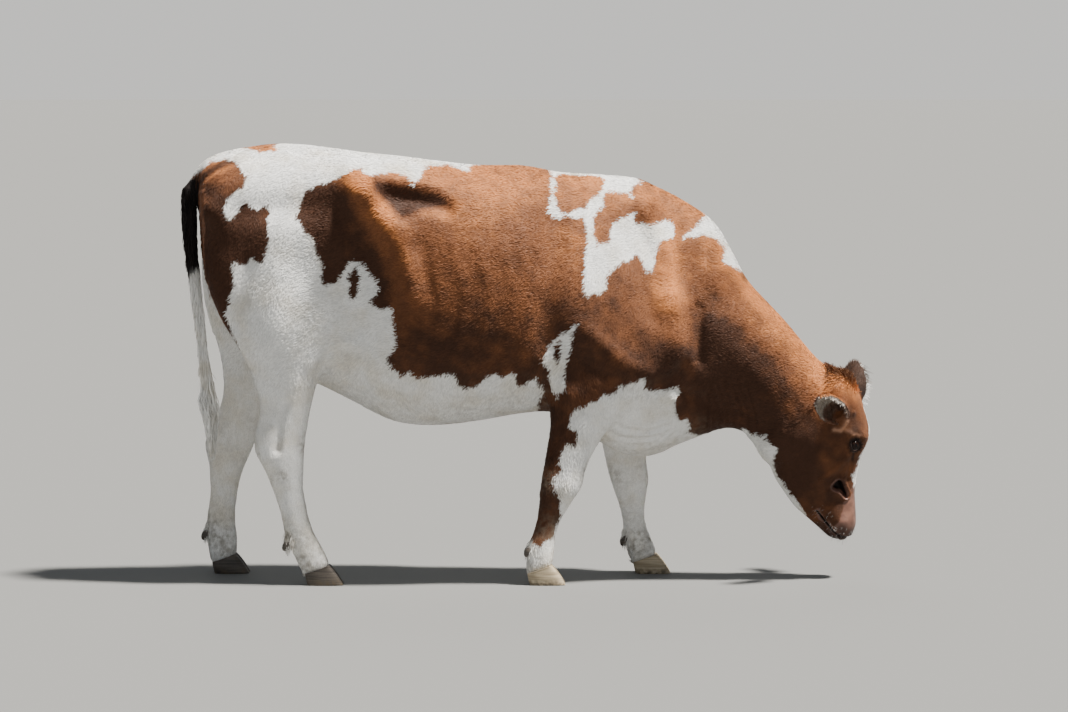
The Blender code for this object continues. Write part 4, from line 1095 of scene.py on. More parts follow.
@dataclass
class Markings:
    """What the materials of skin and coat read at each place of the skin.

    mark is the depth in brown in metres. The rest run from 0 to 1: bare skin, dark hair with some
    painted shade, dirt, sun-bleaching with painted light and shade, and the inner face of the
    ears.
    """

    points: np.ndarray
    normals: np.ndarray
    midline: float = 0.045          # the two sides blend over this width on the back

    def __post_init__(self) -> None:
        """Work out every mask of the coat."""
        self.x, self.y, self.z = self.points.T
        self.flat = self.points[:, [0, 2]]
        self.head = HEAD.straight(self.points)
        self.hx, self.hy, self.hz = self.head[:, 0], np.abs(self.head[:, 1]), self.head[:, 2]
        self.side_on = np.stack((self.hx, self.hz), axis=1)
        self.is_head = (self.x - self.z > 0.22) & (self.z > 0.10) & (self.x > 0.62)
        self.masks = {name: np.zeros(len(self.points)) for name in MASKS}
        for step in (self.patches, self.muzzle, self.eyes, self.tail, self.ears, self.soil,
                     self.sun, self.folds, self.streaks):
            step()
        for name in ("bare", "dark", "dirt", "bleach_and_painted_light"):
            self.masks[name] = np.clip(self.masks[name], 0.0, 1.0)

    def add(self, name: str, values: np.ndarray) -> None:
        """Raise a mask to the given values where it is lower."""
        self.masks[name] = np.maximum(self.masks[name], values)

    def patches(self) -> None:
        """Brown and white on both sides, and the blaze."""
        side = ramp(self.y, -self.midline, self.midline)
        mark = RIGHT_SIDE.depth(self.flat) * (1 - side) + LEFT_SIDE.depth(self.flat) * side
        blaze = reach_to_line(self.head[:, 1:], ((0.004, 0.560), (0.000, 0.480),
                                                 (-0.012, 0.420), (-0.010, 0.350),
                                                 (0.000, 0.215)))
        width = 0.016 + 0.005 * waves(self.head, 0.05, 5) + 0.010 * ramp(
            np.abs(self.hz - 0.49), 0.05, 0.0)
        width += 0.020 * ramp(np.abs(self.hz - 0.390), 0.07, 0.03)
        front = self.is_head & (self.hx > 1.04) & (self.normals[:, 0] > 0.25)
        mark = np.where(front, np.minimum(mark, blaze - width), mark)
        self.masks["mark"] = mark + (0.0034 * waves(self.points, 0.030, 3)
                                     + 0.0024 * waves(self.points, 0.012, 4))

    def muzzle(self) -> None:
        """Bare skin of nose and lips, dark in the nostrils and the mouth, painted shade round the
        top of the nostrils, and dark lips and chin, partly painted shade under the muzzle.
        """
        is_head, hx, hy, hz = self.is_head, self.hx, self.hy, self.hz
        ragged = 0.0035 * waves(self.head, 0.020, 41) + 0.002 * waves(self.head, 0.007, 42)
        self.add("bare", ramp(depth_inside(self.side_on, MUZZLE) + ragged, -0.004, 0.006)
                 * is_head)
        lips = np.where(is_head & (hz < 0.26), reach_to_line(self.side_on, MOUTH), 0.1)
        self.add("bare", ramp(lips + ragged, 0.012, 0.006))
        nostril = np.where(hy > 0.022, depth_inside(self.side_on, NOSTRIL), -0.05)
        self.add("bare", ramp(nostril, -0.0085, -0.0035))
        self.masks["bare"] = self.masks["bare"] * is_head
        self.add("dark", ramp(nostril, 0.0, 0.0070) * is_head)
        # Painted shade round the upper edge of the nostril.
        self.add("dark", 0.40 * ramp(nostril, -0.009, -0.001) * ramp(hz, 0.285, 0.320) * is_head)
        self.add("dark", 0.95 * ramp(lips, 0.0055, 0.0015))
        # Darker lips and chin: partly dark skin and hair, partly painted shade under the muzzle.
        self.add("dark", 0.70 * self.masks["bare"] * ramp(hz, 0.205, 0.145))
        self.add("dark", 0.85 * is_head * ramp(hz, 0.166, 0.140) * (hx > 0.96))

    def eyes(self) -> None:
        """Bare dark lids, and the tear's way down from the front corner."""
        for name in SIDES:
            eye = Eye(name)
            along, up, out = eye.local(self.points).T
            lid = np.sqrt((along / eye.half_length) ** 2 + (up / eye.upper) ** 2)
            near = (out > -0.01) & (np.abs(along) < 0.06)
            self.add("bare", ramp(lid, 1.32, 1.16) * near)
            self.add("dark", ramp(lid, 1.75, 1.10) * near * 0.92)
            tear = reach_to_line(np.stack((along, up), 1),
                                 ((-0.016, -0.004), (-0.026, -0.008), (-0.050, -0.010)))
            self.add("dark", 0.75 * ramp(tear, 0.0075, 0.002) * (out > -0.02)
                     * (along > -0.055))

    def tail(self) -> None:
        """A black tail with a white switch."""
        tail = on_tail(self.points)
        edge = self.z + 0.02 * waves(self.points, 0.03, 8)
        self.add("dark", tail * ramp(edge, 1.02, 1.05))
        self.masks["mark"] = np.where(tail & (self.z < 1.03), -0.05, self.masks["mark"])

    def ears(self) -> None:
        """Dark backs and rims, paler cups, and the white tip of the right cup, with painted shade
        in the left cup and deep in the right one.
        """
        for ear in EARS:
            along, across, _ = ear.local(self.points).T
            reach = (along - ear.start) / ear.length
            near = ear.near(self.points)
            facing = ear.inside(self.points, self.normals)
            cup = near * ramp(facing, -0.10, 0.40)
            back = near * ramp(facing, 0.20, -0.30)
            tip = ramp(reach, 0.30, 0.52)
            share = 1.0 if ear.side > 0 else 0.35 + 0.65 * tip
            self.add("inner", cup * ramp(reach, 0.0, 0.10) * share)
            if ear.side > 0:
                self.add("dark", 0.94 * back * ramp(reach, 0.02, 0.15))
                # Painted shade in the left cup, away from its root.
                self.add("dark", 0.80 * cup * ramp(reach, 0.25, 0.50))
                self.add("dark", 0.80 * near * ramp(np.abs(across), 0.030, 0.044))
            else:
                self.masks["mark"] = np.where(cup * tip > 0.5, -0.05, self.masks["mark"])
                # Painted shade deep in the right cup, by its root.
                self.add("dark", 0.12 * cup * ramp(reach, 0.30, 0.05))
                self.add("dark", 0.30 * back * ramp(reach, 0.25, 0.75))

    def soil(self) -> None:
        """Dirt on feet, hocks, knees and belly, and stains on the right hind leg."""
        x, y, z = self.x, self.y, self.z
        speckle = 0.5 + 0.5 * waves(self.points, 0.016, 11)
        blotch = 0.5 + 0.5 * waves(self.points, 0.06, 12)
        self.add("dirt", ramp(z, 0.30, 0.10) * (0.35 + 0.55 * speckle * blotch))
        hock = bell((z - 0.45) / 0.07) * (x < -0.55)
        knee = bell((z - 0.34) / 0.05) * (x > -0.2) * (x < 0.5)
        self.add("dirt", 0.45 * (hock + knee) * blotch * (x < 0.62))
        for ahead, up, reach, share in ((-0.804, 0.364, 0.020, 0.75), (-0.838, 0.347, 0.012, 0.6),
                                        (-0.883, 0.432, 0.010, 0.7), (-0.700, 0.900, 0.060, 0.3)):
            self.add("dirt", share * (bell(np.hypot(x - ahead, z - up) / reach) * (y < 0)))
        belly = ramp(self.normals[:, 2], -0.35, -0.85) * (x < 0.6) * (z < 0.75)
        self.add("dirt", 0.30 * belly * (0.5 + 0.5 * blotch))
        self.masks["dirt"] = self.masks["dirt"] * ~(self.is_head & (z > 0.10))

    def sun(self) -> None:
        """Hair lighter where it faces the sky, partly sun-bleaching and partly painted light;
        painted shade low on the body, behind the flank's ridge, on the neck, in the flank's
        hollow, on the lower face and the temple; painted highlights on the ridges and down the
        face.
        """
        x, z, flat = self.x, self.z, self.flat
        upward, sideways = self.normals[:, 2], np.abs(self.normals[:, 1])
        # Lighter where the hair faces up: partly sun-bleaching, partly painted light from above.
        bleach_and_painted_light = 0.42 + 0.40 * ramp(upward, 0.05, 0.90)
        # Darker low on the barrel and the shoulder: partly darker hair, partly painted shade.
        bleach_and_painted_light -= 0.26 * ramp(z, 1.08, 0.72) * ramp(x, 0.90, 0.50)
        # Painted shade on the rump behind the flank's ridge, where the sides face back.
        crease = np.interp(z, (1.04, 1.13, 1.212, 1.33), (-0.392, -0.420, -0.470, -0.550))
        bleach_and_painted_light -= 0.40 * ramp(x - crease, -0.030, -0.100) * ramp(sideways, 0.3, 0.8)
        # Painted shade on the lower neck and in the flank's hollow.
        for outline, soft, depth in ((NECK_SHADE, 0.035, 0.25), (FLANK_SHADE, 0.024, 0.86)):
            bleach_and_painted_light -= depth * ramp(depth_inside(flat, outline), -soft, soft)
        # Painted highlights along the flank's ridge, the shoulder and the neck's crest, where
        # they face up.
        for line, reach, height in (
            (((-0.550, 1.330), (-0.470, 1.212), (-0.420, 1.130), (-0.392, 1.040)), 0.034, 0.28),
            (((0.465, 1.130), (0.475, 0.980), (0.490, 0.880), (0.520, 0.770)), 0.060, 0.32),
            (((0.660, 1.100), (0.800, 0.930), (0.930, 0.700), (1.020, 0.620)), 0.075, 0.26),
        ):
            bleach_and_painted_light += height * bell(reach_to_line(flat, line) / reach) * ramp(upward, -0.12, 0.16)
        # On the head: a painted highlight down the front of the face, and a darker lower face,
        # partly darker hair and partly painted shade.
        bleach_and_painted_light += self.is_head * (0.16 * ramp(self.hx, 1.03, 1.09)
                                - 0.22 * ramp(self.hz, 0.60, 0.44))
        # Painted shade on the temple, between ear and eye.
        temple = reach_to_line(self.side_on, ((1.070, 0.610), (1.086, 0.560), (1.098, 0.520)))
        bleach_and_painted_light -= self.is_head * 0.34 * bell(temple / 0.024) * ramp(self.hy, 0.020, 0.050)
        self.masks["bleach_and_painted_light"] = bleach_and_painted_light

    def folds(self) -> None:
        """Painted highlights along the folds below the ear, over the eye and along the cheek,
        with paler hair on the first two.
        """
        for line, reach, height, pale in (
            (((1.028, 0.510), (1.048, 0.506), (1.060, 0.520), (1.068, 0.540)), 0.0065, 0.62, 1),
            (((1.066, 0.512), (1.084, 0.504), (1.108, 0.486)), 0.0060, 0.54, 1),
            (((1.052, 0.400), (1.020, 0.372), (0.985, 0.345)), 0.0120, 0.12, 0),
        ):
            # Each line is a painted highlight along its fold; the first two also get paler hair.
            away = reach_to_line(self.side_on, line) + 0.0015 * waves(self.head, 0.012, 43)
            fold = self.is_head * height * bell(away / reach)
            self.masks["bleach_and_painted_light"] += 0.9 * fold
            self.add("inner", 0.55 * fold * pale)
        self.masks["bleach_and_painted_light"] += (0.06 * waves(self.points, 0.11, 21)
                               + 0.05 * waves(self.points, 0.035, 22))

    def streaks(self) -> None:
        """Darker hair in the gully beside the tail, partly painted shade, and dark hair at the
        end of the mane.
        """
        # The gully beside the tail: partly dark hair, partly painted shade.
        gully = reach_to_line(self.flat, ((-1.075, 1.330), (-1.020, 1.370), (-0.965, 1.392)))
        self.add("dark", 0.55 * ramp(gully, 0.016, 0.004) * (self.masks["mark"] > -0.006))
        mane = np.hypot(self.x - 0.728, self.z - 0.998)
        self.add("dark", 0.55 * ramp(mane, 0.026, 0.006) * (np.abs(self.y) < 0.05))


# ---- Coat ---------------------------------------------------------------------------------
DOWN = np.array((0.0, 0.0, -1.0))


def fitted(flat: np.ndarray) -> np.ndarray:
    """Fit an unwrap into the square from 0 to 1, with a margin for the tufts' patches."""
    low, high = flat.min(axis=0), flat.max(axis=0)
    return 0.01 + 0.98 * (flat - low) / (high - low)


def lie_of_hair(points: np.ndarray, normals: np.ndarray) -> np.ndarray:
    """The way in which the hair lies.

    Args:
        points: Places on the skin.
        normals: Its normals there.

    Returns:
        Directions along the skin, of length one.
    """
    x, _, z = points.T
    head = HEAD.straight(points)
    hx, hz = head[:, 0], head[:, 2]
    is_head = ramp(x - z, 0.22, 0.42) * (z > 0.10) * (x > 0.62)
    leg = ramp(z, 0.80, 0.62) * (x < 0.62)
    rear = ramp(x, -0.62, -0.92)
    shoulder = bell((x - 0.30) / 0.20) * ramp(z, 1.25, 0.90)
    neck = ramp(x + 0.35 * (1.2 - z), 0.52, 0.72) * (1 - is_head)
    trunk = np.maximum(1.0 - leg - neck - is_head, 0.0)
    low = ramp(normals[:, 2], -0.3, -0.9)
    nose = is_head * ramp(hx, 1.02, 1.08) * ramp(normals[:, 0], 0.1, 0.6)
    whorl = np.stack((head[:, 1], hz - 0.500), axis=1)
    spin = bell(np.linalg.norm(whorl, axis=1) / 0.05)
    flow = np.zeros_like(points)
    for weight, way in (
        (trunk * (1 - low), (-1.0, 0.0, -0.30)), (trunk * low, (-1.0, 0.0, 0.0)),
        (rear * trunk, (-0.10, 0.0, -1.20)), (shoulder * trunk, (-0.10, 0.0, -0.90)),
        (leg, (-0.14, 0.0, -1.0)), (neck, (-1.0, 0.0, -0.05)),
        (is_head - nose, (-0.80, 0.0, -0.42)),
    ):
        flow += np.clip(weight, 0.0, None)[:, None] * np.array(way)
    out = unit(np.stack((whorl[:, 0] * 0.8, whorl[:, 1] + 1e-6), axis=1))
    flow[:, 1] += nose * (out[:, 0] - 1.3 * spin * out[:, 1])
    flow[:, 2] += nose * (out[:, 1] + 1.3 * spin * out[:, 0])
    for ear in EARS:
        flow[ear.near(points, 0.012)] = np.array(ear.axes()[0])
    flow[on_tail(points)] = DOWN
    for name in SIDES:
        eye = Eye(name)
        local = eye.local(points)
        spread = unit(local * np.array((1.0, 1.0, 0.0))) @ eye.axes()
        near = bell(np.linalg.norm(local, axis=1) / 0.030)
        flow += near[:, None] * (spread * 2.0 - flow)
    flow -= normals * np.einsum("ij,ij->i", flow, normals)[:, None]
    return unit(flow)


class Wrap(Enum):
    """How a piece of the coat is unwrapped: the axis that its place is measured round."""

    ALONG_X = (1.0, 0.0, 0.0)
    ALONG_NECK = (-0.64, 0.0, 0.77)
    ALONG_Z = (0.0, 0.0, 1.0)


@dataclass(frozen=True)
class Pelt:
    """One piece of the coat: where it grows, and the size of its tufts."""

    name: str
    count: int
    wrap: Wrap
    middle: tuple
    low: tuple                      # corner of the box that its roots lie in
    high: tuple
    length: float = 0.018
    width: float = 0.0028
    lift: float = 0.0024


PELTS = (
    *(Pelt(f"coat_{part}_{side}", count, Wrap.ALONG_X, (0, 0, middle), (rear, y, bottom),
           (front, y + 1, 2))
      for part, count, middle, rear, front, bottom in (
          ("barrel", 63000, 0.95, -0.55, 0.20, 0.30), ("quarter", 61000, 1.0, -2, -0.55, 0.66),
          ("shoulder", 50000, 0.9, 0.20, 0.60, 0.62))
      for side, y in (("right", -1), ("left", 0))),
    Pelt("coat_neck", 59000, Wrap.ALONG_NECK, (0.75, 0, 0.75), (0.60, -1, 0.3), (2, 1, 2),
         0.0160, 0.0026, 0.0022),
    Pelt("coat_head", 75000, Wrap.ALONG_Z, (1.0, 0, 0.4), (0.70, -1, 0.1), (2, 1, 2),
         0.0082, 0.0015, 0.0012),
    Pelt("coat_legs_fore", 59000, Wrap.ALONG_Z, (0.2, 0, 0.3), (-0.2, -1, 0.0), (0.60, 1, 0.62),
         0.0088, 0.0017, 0.0010),
    Pelt("coat_legs_hind", 69000, Wrap.ALONG_Z, (-0.85, 0, 0.3), (-2, -1, 0.0), (-0.55, 1, 0.66),
         0.0092, 0.0018, 0.0010),
)


@dataclass(frozen=True)
class Hair:
    """One kind of long hair."""

    count: int
    length: float
    width: float
    out: float                      # how far it stands off the skin
    spread: float                   # how much the locks differ in direction
    fall: float
    wave: float
    rows: int
    seeds: tuple                    # of the roots, the shapes, the paths and the bands


# Hair on the ears by side: where, how many locks, their length, and how far they lean out
EAR_HAIR = {
    -1: (("inside", 1500, 0.024, 0.45), ("rim", 1100, 0.009, 0.15)),
    1: (("inside", 2000, 0.040, 1.45), ("rim", 1100, 0.016, 0.15), ("back", 1800, 0.013, -0.10)),
}


@dataclass
class Roots:
    """Places on the skin from which hair grows."""

    points: np.ndarray
    normals: np.ndarray
    masks: dict


@dataclass
class Coat:
    """Thin tufts of hair over the skin, and the long hair of poll, ears and tail."""

    skin: bpy.types.Object
    finish: bpy.types.Material
    sink: float = 0.0006            # roots stand this deep in the skin
    patch: float = 0.0015           # half the width of a tuft's patch in the unwrap

    def __post_init__(self) -> None:
        """Read the skin once for all pieces."""
        data = self.skin.data
        data.calc_loop_triangles()
        corners = np.empty(len(data.loop_triangles) * 3, dtype=np.int64)
        data.loop_triangles.foreach_get("vertices", corners)
        self.corners = corners.reshape(-1, 3)
        self.places = mesh_points(data)
        self.normals = mesh_points(data, "normal")
        self.masks = {}
        for name in MASKS:
            values = np.empty(len(data.vertices), dtype=np.float32)
            data.attributes[name].data.foreach_get("value", values)
            self.masks[name] = values.astype(float)
        a, b, c = (self.places[self.corners[:, k]] for k in range(3))
        self.middles = (a + b + c) / 3
        self.areas = np.linalg.norm(np.cross(b - a, c - a), axis=1) / 2

    def roots(self, weights: np.ndarray, count: int, seed: int) -> Roots:
        """Spread roots evenly over the skin.

        Args:
            weights: How thickly the hair stands on each triangle of the skin.
            count: Number of roots.
            seed: Starts the choice.

        Returns:
            The roots.
        """
        rng = np.random.default_rng(seed)
        steps = np.cumsum(self.areas * weights)
        aims = (np.arange(count) + rng.uniform(size=count)) / count * steps[-1]
        chosen = self.corners[np.minimum(np.searchsorted(steps, aims), len(steps) - 1)]
        shares = rng.dirichlet((1.0, 1.0, 1.0), size=count)

        def mixed(values: np.ndarray) -> np.ndarray:
            """Values at the roots from those at the corners round them."""
            kept = values[chosen]
            return np.einsum("ij,ij...->i...", shares, kept)

        return Roots(mixed(self.places), unit(mixed(self.normals)),
                     {name: mixed(values) for name, values in self.masks.items()})

    def region(self, pelt: Pelt) -> np.ndarray:
        """How thickly a piece of the coat stands on each triangle.

        Args:
            pelt: The piece.

        Returns:
            A weight for each triangle of the skin.
        """
        x, _, z = self.middles.T
        within = np.all((self.middles >= pelt.low) & (self.middles < pelt.high), axis=1)
        within &= ~on_tail(self.middles, 1.33)
        is_head = (x - z > 0.37) & (x > 0.62)
        bare = self.masks["bare"][self.corners].mean(axis=1)
        if pelt.name == "coat_head":
            return within * is_head * (bare < 0.45) * (1.0 + 1.2 * ramp(x, 0.98, 1.05))
        return (within & ~(is_head & (z > 0.1)) & (bare < 0.45)).astype(float)

    def unwrap(self, pelt: Pelt, roots: Roots) -> np.ndarray:
        """Place of each root on an unwrap of the skin's shape round the piece's axis.

        Args:
            pelt: The piece of the coat.
            roots: Its roots.

        Returns:
            Rows of two numbers between 0 and 1.
        """
        axis = np.array(pelt.wrap.value)
        first = unit(np.cross(axis, (0.0, 1.0, 0.0)))
        second = np.cross(axis, first)
        legs = pelt.name.startswith("coat_legs")
        away = roots.normals if legs else roots.points - np.array(pelt.middle)
        angle = np.arctan2(away @ second, away @ first)
        if legs:                    # the two legs lie side by side
            angle = angle / 2 + np.where(roots.points[:, 1] > 0, math.pi / 2, -math.pi / 2)
        return fitted(np.stack((angle, roots.points @ axis), axis=1))

    def tufts(self, pelt: Pelt, seed: int) -> bpy.types.Object:
        """Make one piece of the coat.

        Args:
            pelt: The piece.
            seed: Starts its random draws.

        Returns:
            The piece.
        """
        rng = np.random.default_rng(seed)
        roots = self.roots(self.region(pelt), pelt.count, seed)
        points, normals = roots.points, roots.normals
        count = len(points)
        lie = lie_of_hair(points, normals)
        turn = 0.26 * waves(points, 0.07, 31) + 0.16 * waves(points, 0.02, 32)
        turn += rng.normal(0.0, 0.14, count)
        side = np.cross(normals, lie)
        lie, side = (lie * np.cos(turn)[:, None] + side * np.sin(turn)[:, None],
                     side * np.cos(turn)[:, None] - lie * np.sin(turn)[:, None])
        length = pelt.length * rng.uniform(0.65, 1.25, count) * self.length_share(roots)
        width = pelt.width * rng.uniform(0.7, 1.25, count) * np.sqrt(self.length_share(roots))
        lift = pelt.lift * rng.uniform(0.5, 1.3, count) * self.length_share(roots)
        roll = rng.normal(0.0, 0.20, count)
        across = side * np.cos(roll)[:, None] + normals * np.sin(roll)[:, None]
        bend = rng.normal(0.0, 0.10, count) * length
        half = across * (width / 2)[:, None]
        base = points - normals * self.sink
        middle = (base + lie * (length * 0.48)[:, None]
                  + normals * (lift * 0.85 + self.sink)[:, None])
        tip = (base + lie * length[:, None] + normals * (lift * 0.75 + self.sink)[:, None]
               + side * bend[:, None])
        corners = np.stack((base, middle - half, middle + half, tip), axis=1).reshape(-1, 3)
        order = np.array((0, 2, 1, 1, 2, 3))
        loops = (np.arange(count)[:, None] * 4 + order).ravel()
        spread = np.array(((0.0, -1.0), (-1.0, 0.0), (1.0, 0.0), (0.0, 1.0)))
        patches = self.unwrap(pelt, roots)[:, None, :] + spread * self.patch
        strand = rng.uniform(0.0, 1.0, count)
        return self.piece(pelt.name, corners, loops, patches.reshape(-1, 2), roots.masks,
                          strand, 4)

    def length_share(self, roots: Roots) -> np.ndarray:
        """How long the hair is at each root, against the length of its piece.

        Args:
            roots: The roots.

        Returns:
            Numbers around 1.
        """
        x, _, z = roots.points.T
        share = 1.0 - 0.35 * roots.masks["inner"]
        share += 0.55 * ramp(z, 0.105, 0.075) * (x < 0.62)
        share -= 0.30 * ramp(x - z, 0.60, 0.80) * (x > 0.62)
        share -= 0.35 * roots.masks["bare"]
        brisket = (x > 0.15) & (x < 0.60) & (roots.normals[:, 2] < -0.6)
        return share + 0.25 * brisket

    def piece(self, name: str, places: np.ndarray, loops: np.ndarray, patches: np.ndarray,
              masks: dict, strand: np.ndarray, each: int,
              slot: str = "coat") -> bpy.types.Object:
        """Turn arrays of triangles into a piece that rides on the body.

        Args:
            name: Name of the piece.
            places: Places of all vertices.
            loops: Vertices of the triangles, three by three.
            patches: Place of each vertex in the unwrap.
            masks: What the materials read, for each tuft.
            strand: A random number for each tuft.
            each: Vertices in a tuft.
            slot: Handed on to dress.

        Returns:
            The piece.
        """
        data = bpy.data.meshes.new(name)
        triangles = len(loops) // 3
        data.vertices.add(len(places))
        data.vertices.foreach_set("co", places.astype(np.float32).ravel())
        data.loops.add(len(loops))
        data.loops.foreach_set("vertex_index", loops.astype(np.int32))
        data.polygons.add(triangles)
        data.polygons.foreach_set("loop_start", np.arange(triangles, dtype=np.int32) * 3)
        data.update(calc_edges=True)
        unwrap = data.uv_layers.new(name="OFBake")
        unwrap.data.foreach_set("uv", patches[loops].astype(np.float32).ravel())
        for mask, values in masks.items():
            store(data, mask, np.repeat(values, each))
        store(data, "strand", np.repeat(strand, each))
        thing = new_object(name, data)
        data.materials.append(self.finish)
        LOG.info("%s: %d triangles", name, triangles)
        return dress(thing, slot)

    def locks(self, name: str, roots: Roots, paths: np.ndarray, width: np.ndarray,
              patches: np.ndarray, seed: int) -> bpy.types.Object:
        """Long hair as tapered, twisted bands along given paths.

        Args:
            name: Name of the piece.
            roots: Where the locks grow, with what the materials read there.
            paths: For each lock, the points along its middle.
            width: Width of each lock.
            patches: Place of each lock in the unwrap.
            seed: Starts its random draws.

        Returns:
            The piece.
        """
        rng = np.random.default_rng(seed)
        count, rows = paths.shape[:2]
        ahead = unit(np.gradient(paths, axis=1).reshape(-1, 3)).reshape(count, rows, 3)
        start = unit(np.cross(ahead[:, 0], rng.normal(size=(count, 3))))
        across = unit((start[:, None] - ahead * np.einsum("ij,ikj->ik", start, ahead)[..., None]
                       ).reshape(-1, 3)).reshape(count, rows, 3)
        shape = np.sqrt(1.0 - (np.arange(rows) / (rows - 0.5)) ** 2) * 0.5
        half = across * (width[:, None] * shape)[..., None]
        corners = np.stack((paths - half, paths + half), axis=2).reshape(-1, 3)
        order = np.concatenate([(2 * row, 2 * row + 1, 2 * row + 3, 2 * row, 2 * row + 3,
                                 2 * row + 2) for row in range(rows - 1)])
        loops = (np.arange(count)[:, None] * 2 * rows + order).ravel()
        run = np.linspace(-1.0, 1.0, rows)
        spread = np.stack((np.stack((-np.ones(rows), run), 1), np.stack((np.ones(rows), run), 1)),
                          axis=1).reshape(-1, 2)
        places = patches[:, None, :] + spread * self.patch
        return self.piece(name, corners, loops, places.reshape(-1, 2), roots.masks,
                          rng.uniform(0.0, 1.0, count), 2 * rows, "long_hair")

    def hanging(self, roots: Roots, start: np.ndarray, length: np.ndarray, fall: float,
                wave: float, rows: int, seed: int) -> np.ndarray:
        """Paths of locks that leave the skin one way and then bend down.

        Args:
            roots: Where they grow.
            start: The way in which each leaves the skin.
            length: Length of each lock.
            fall: How far it turns down towards its tip, from 0 to 1.
            wave: Size of its waves as a share of its length.
            rows: Points along each lock.
            seed: Starts its random draws.

        Returns:
            The points of each path.
        """
        rng = np.random.default_rng(seed)
        count = len(length)
        steps = np.linspace(0.0, 1.0, rows)
        turn = (fall * steps ** 1.4)[None, :, None]
        way = start[:, None] * (1 - turn) + np.array((0.0, 0.0, -1.0)) * turn
        way /= np.linalg.norm(way, axis=2, keepdims=True)
        way *= (length / (rows - 1))[:, None, None]
        paths = roots.points[:, None] + np.cumsum(way, axis=1) - way[:, :1]
        side = unit(np.cross(start, rng.normal(size=(count, 3))))
        phase = rng.uniform(0.0, 2 * math.pi, (count, 1))
        curl = np.sin(phase + steps * rng.uniform(4.0, 9.0, (count, 1))) - np.sin(phase)
        return paths + side[:, None] * (curl * (wave * length)[:, None])[..., None]

    def chosen(self, weights: np.ndarray, count: int, seed: int) -> tuple[Roots, np.ndarray]:
        """Roots of long hair and their places in an unwrap round the upright axis.

        Args:
            weights: How thickly it stands on each triangle of the skin.
            count: Number of locks.
            seed: Starts the choice.

        Returns:
            The roots and their places in the unwrap.
        """
        roots = self.roots(weights, count, seed)
        angle = np.arctan2(roots.normals[:, 1], roots.normals[:, 0])
        return roots, fitted(np.stack((angle, roots.points[:, 2]), axis=1))

    def grow(self, name: str, hair: Hair, weights: np.ndarray, way: np.ndarray | Callable,
             tint: Callable | None = None) -> None:
        """Make one piece of long hair.

        Args:
            name: Name of the piece.
            hair: Its kind.
            weights: How thickly it stands on each triangle of the skin.
            way: The way in which the locks leave the skin, or what gives it from the roots.
            tint: Changes what the materials read at the roots. What it gives back, if anything,
                shortens the locks.
        """
        roots, patches = self.chosen(weights, hair.count, hair.seeds[0])
        rng = np.random.default_rng(hair.seeds[1])
        start = unit((way(roots) if callable(way) else way) + roots.normals * hair.out
                     + rng.normal(0.0, hair.spread, (hair.count, 3)))
        length = hair.length * rng.uniform(0.5, 1.2, hair.count)
        share = tint(roots, rng) if tint else None
        length = length if share is None else length * share
        paths = self.hanging(roots, start, length, hair.fall, hair.wave, hair.rows,
                             hair.seeds[2])
        self.locks(name, roots, paths, hair.width * rng.uniform(0.6, 1.3, hair.count), patches,
                   hair.seeds[3])

    def tail(self) -> None:
        """Hair along the tail, and the wavy switch at its end."""
        x, y, z = self.middles.T
        tail = (x < -0.99) & (np.abs(y) < 0.050) & (z < 1.34) & ((z < 0.72) | (x < -1.045))
        count, rows = 7000, 4
        roots, patches = self.chosen((tail & (z > 0.64)) * (1.0 + 0.5 * (z < 1.0)), count, 301)
        rng = np.random.default_rng(302)
        length = 0.034 * rng.uniform(0.6, 1.3, count)
        length = length * (1 + 0.9 * ramp(roots.points[:, 2], 0.85, 0.66))
        start = unit(DOWN + roots.normals * 0.10 + rng.normal(0.0, 0.07, (count, 3)))
        paths = self.hanging(roots, start, length, 0.6, 0.012, rows, 303)
        swell = np.sin(np.linspace(0.0, 2.4, rows)) * 0.0022
        paths += roots.normals[:, None] * swell[None, :, None]
        self.locks("tail_hair", roots, paths, 0.0026 * rng.uniform(0.6, 1.2, count), patches, 304)
        switch = Switch()
        roots, patches = self.chosen((tail & (z > 0.52) & (z < 0.76)).astype(float),
                                     switch.locks, 311)
        for name, value in (("mark", -0.05), ("dark", 0.0), ("dirt", 0.12)):
            roots.masks[name] = np.full(switch.locks, value)
        width = 0.0042 * np.random.default_rng(312).uniform(0.5, 1.2, switch.locks)
        self.locks("tail_switch_hair", roots, switch.paths(roots.points), width, patches, 313)

    def ears(self) -> None:
        """Long hair in the cups of the ears, along their rims and on the back of the left."""
        inner = self.masks["inner"][self.corners].mean(axis=1)
        grounds = {"inside": inner > 0.3, "rim": (inner > 0.06) * (inner < 0.55),
                   "back": inner < 0.10}
        for ear in EARS:
            near = ear.near(self.middles)
            along, _, out = np.array(ear.axes())
            for part, count, size, lean in EAR_HAIR[ear.side]:
                seed = 400 + 10 * (ear.side > 0) + (part == "rim")
                self.grow(f"ear_{part}_{'left' if ear.side > 0 else 'right'}",
                          Hair(count, size, 0.0013, 0.25, 0.16, 0.18, 0.035, 5,
                               (seed, seed + 40, seed + 80, seed + 120)),
                          (near * grounds[part]).astype(float), along + out * lean,
                          partial(self.tint_ear, ear, part))

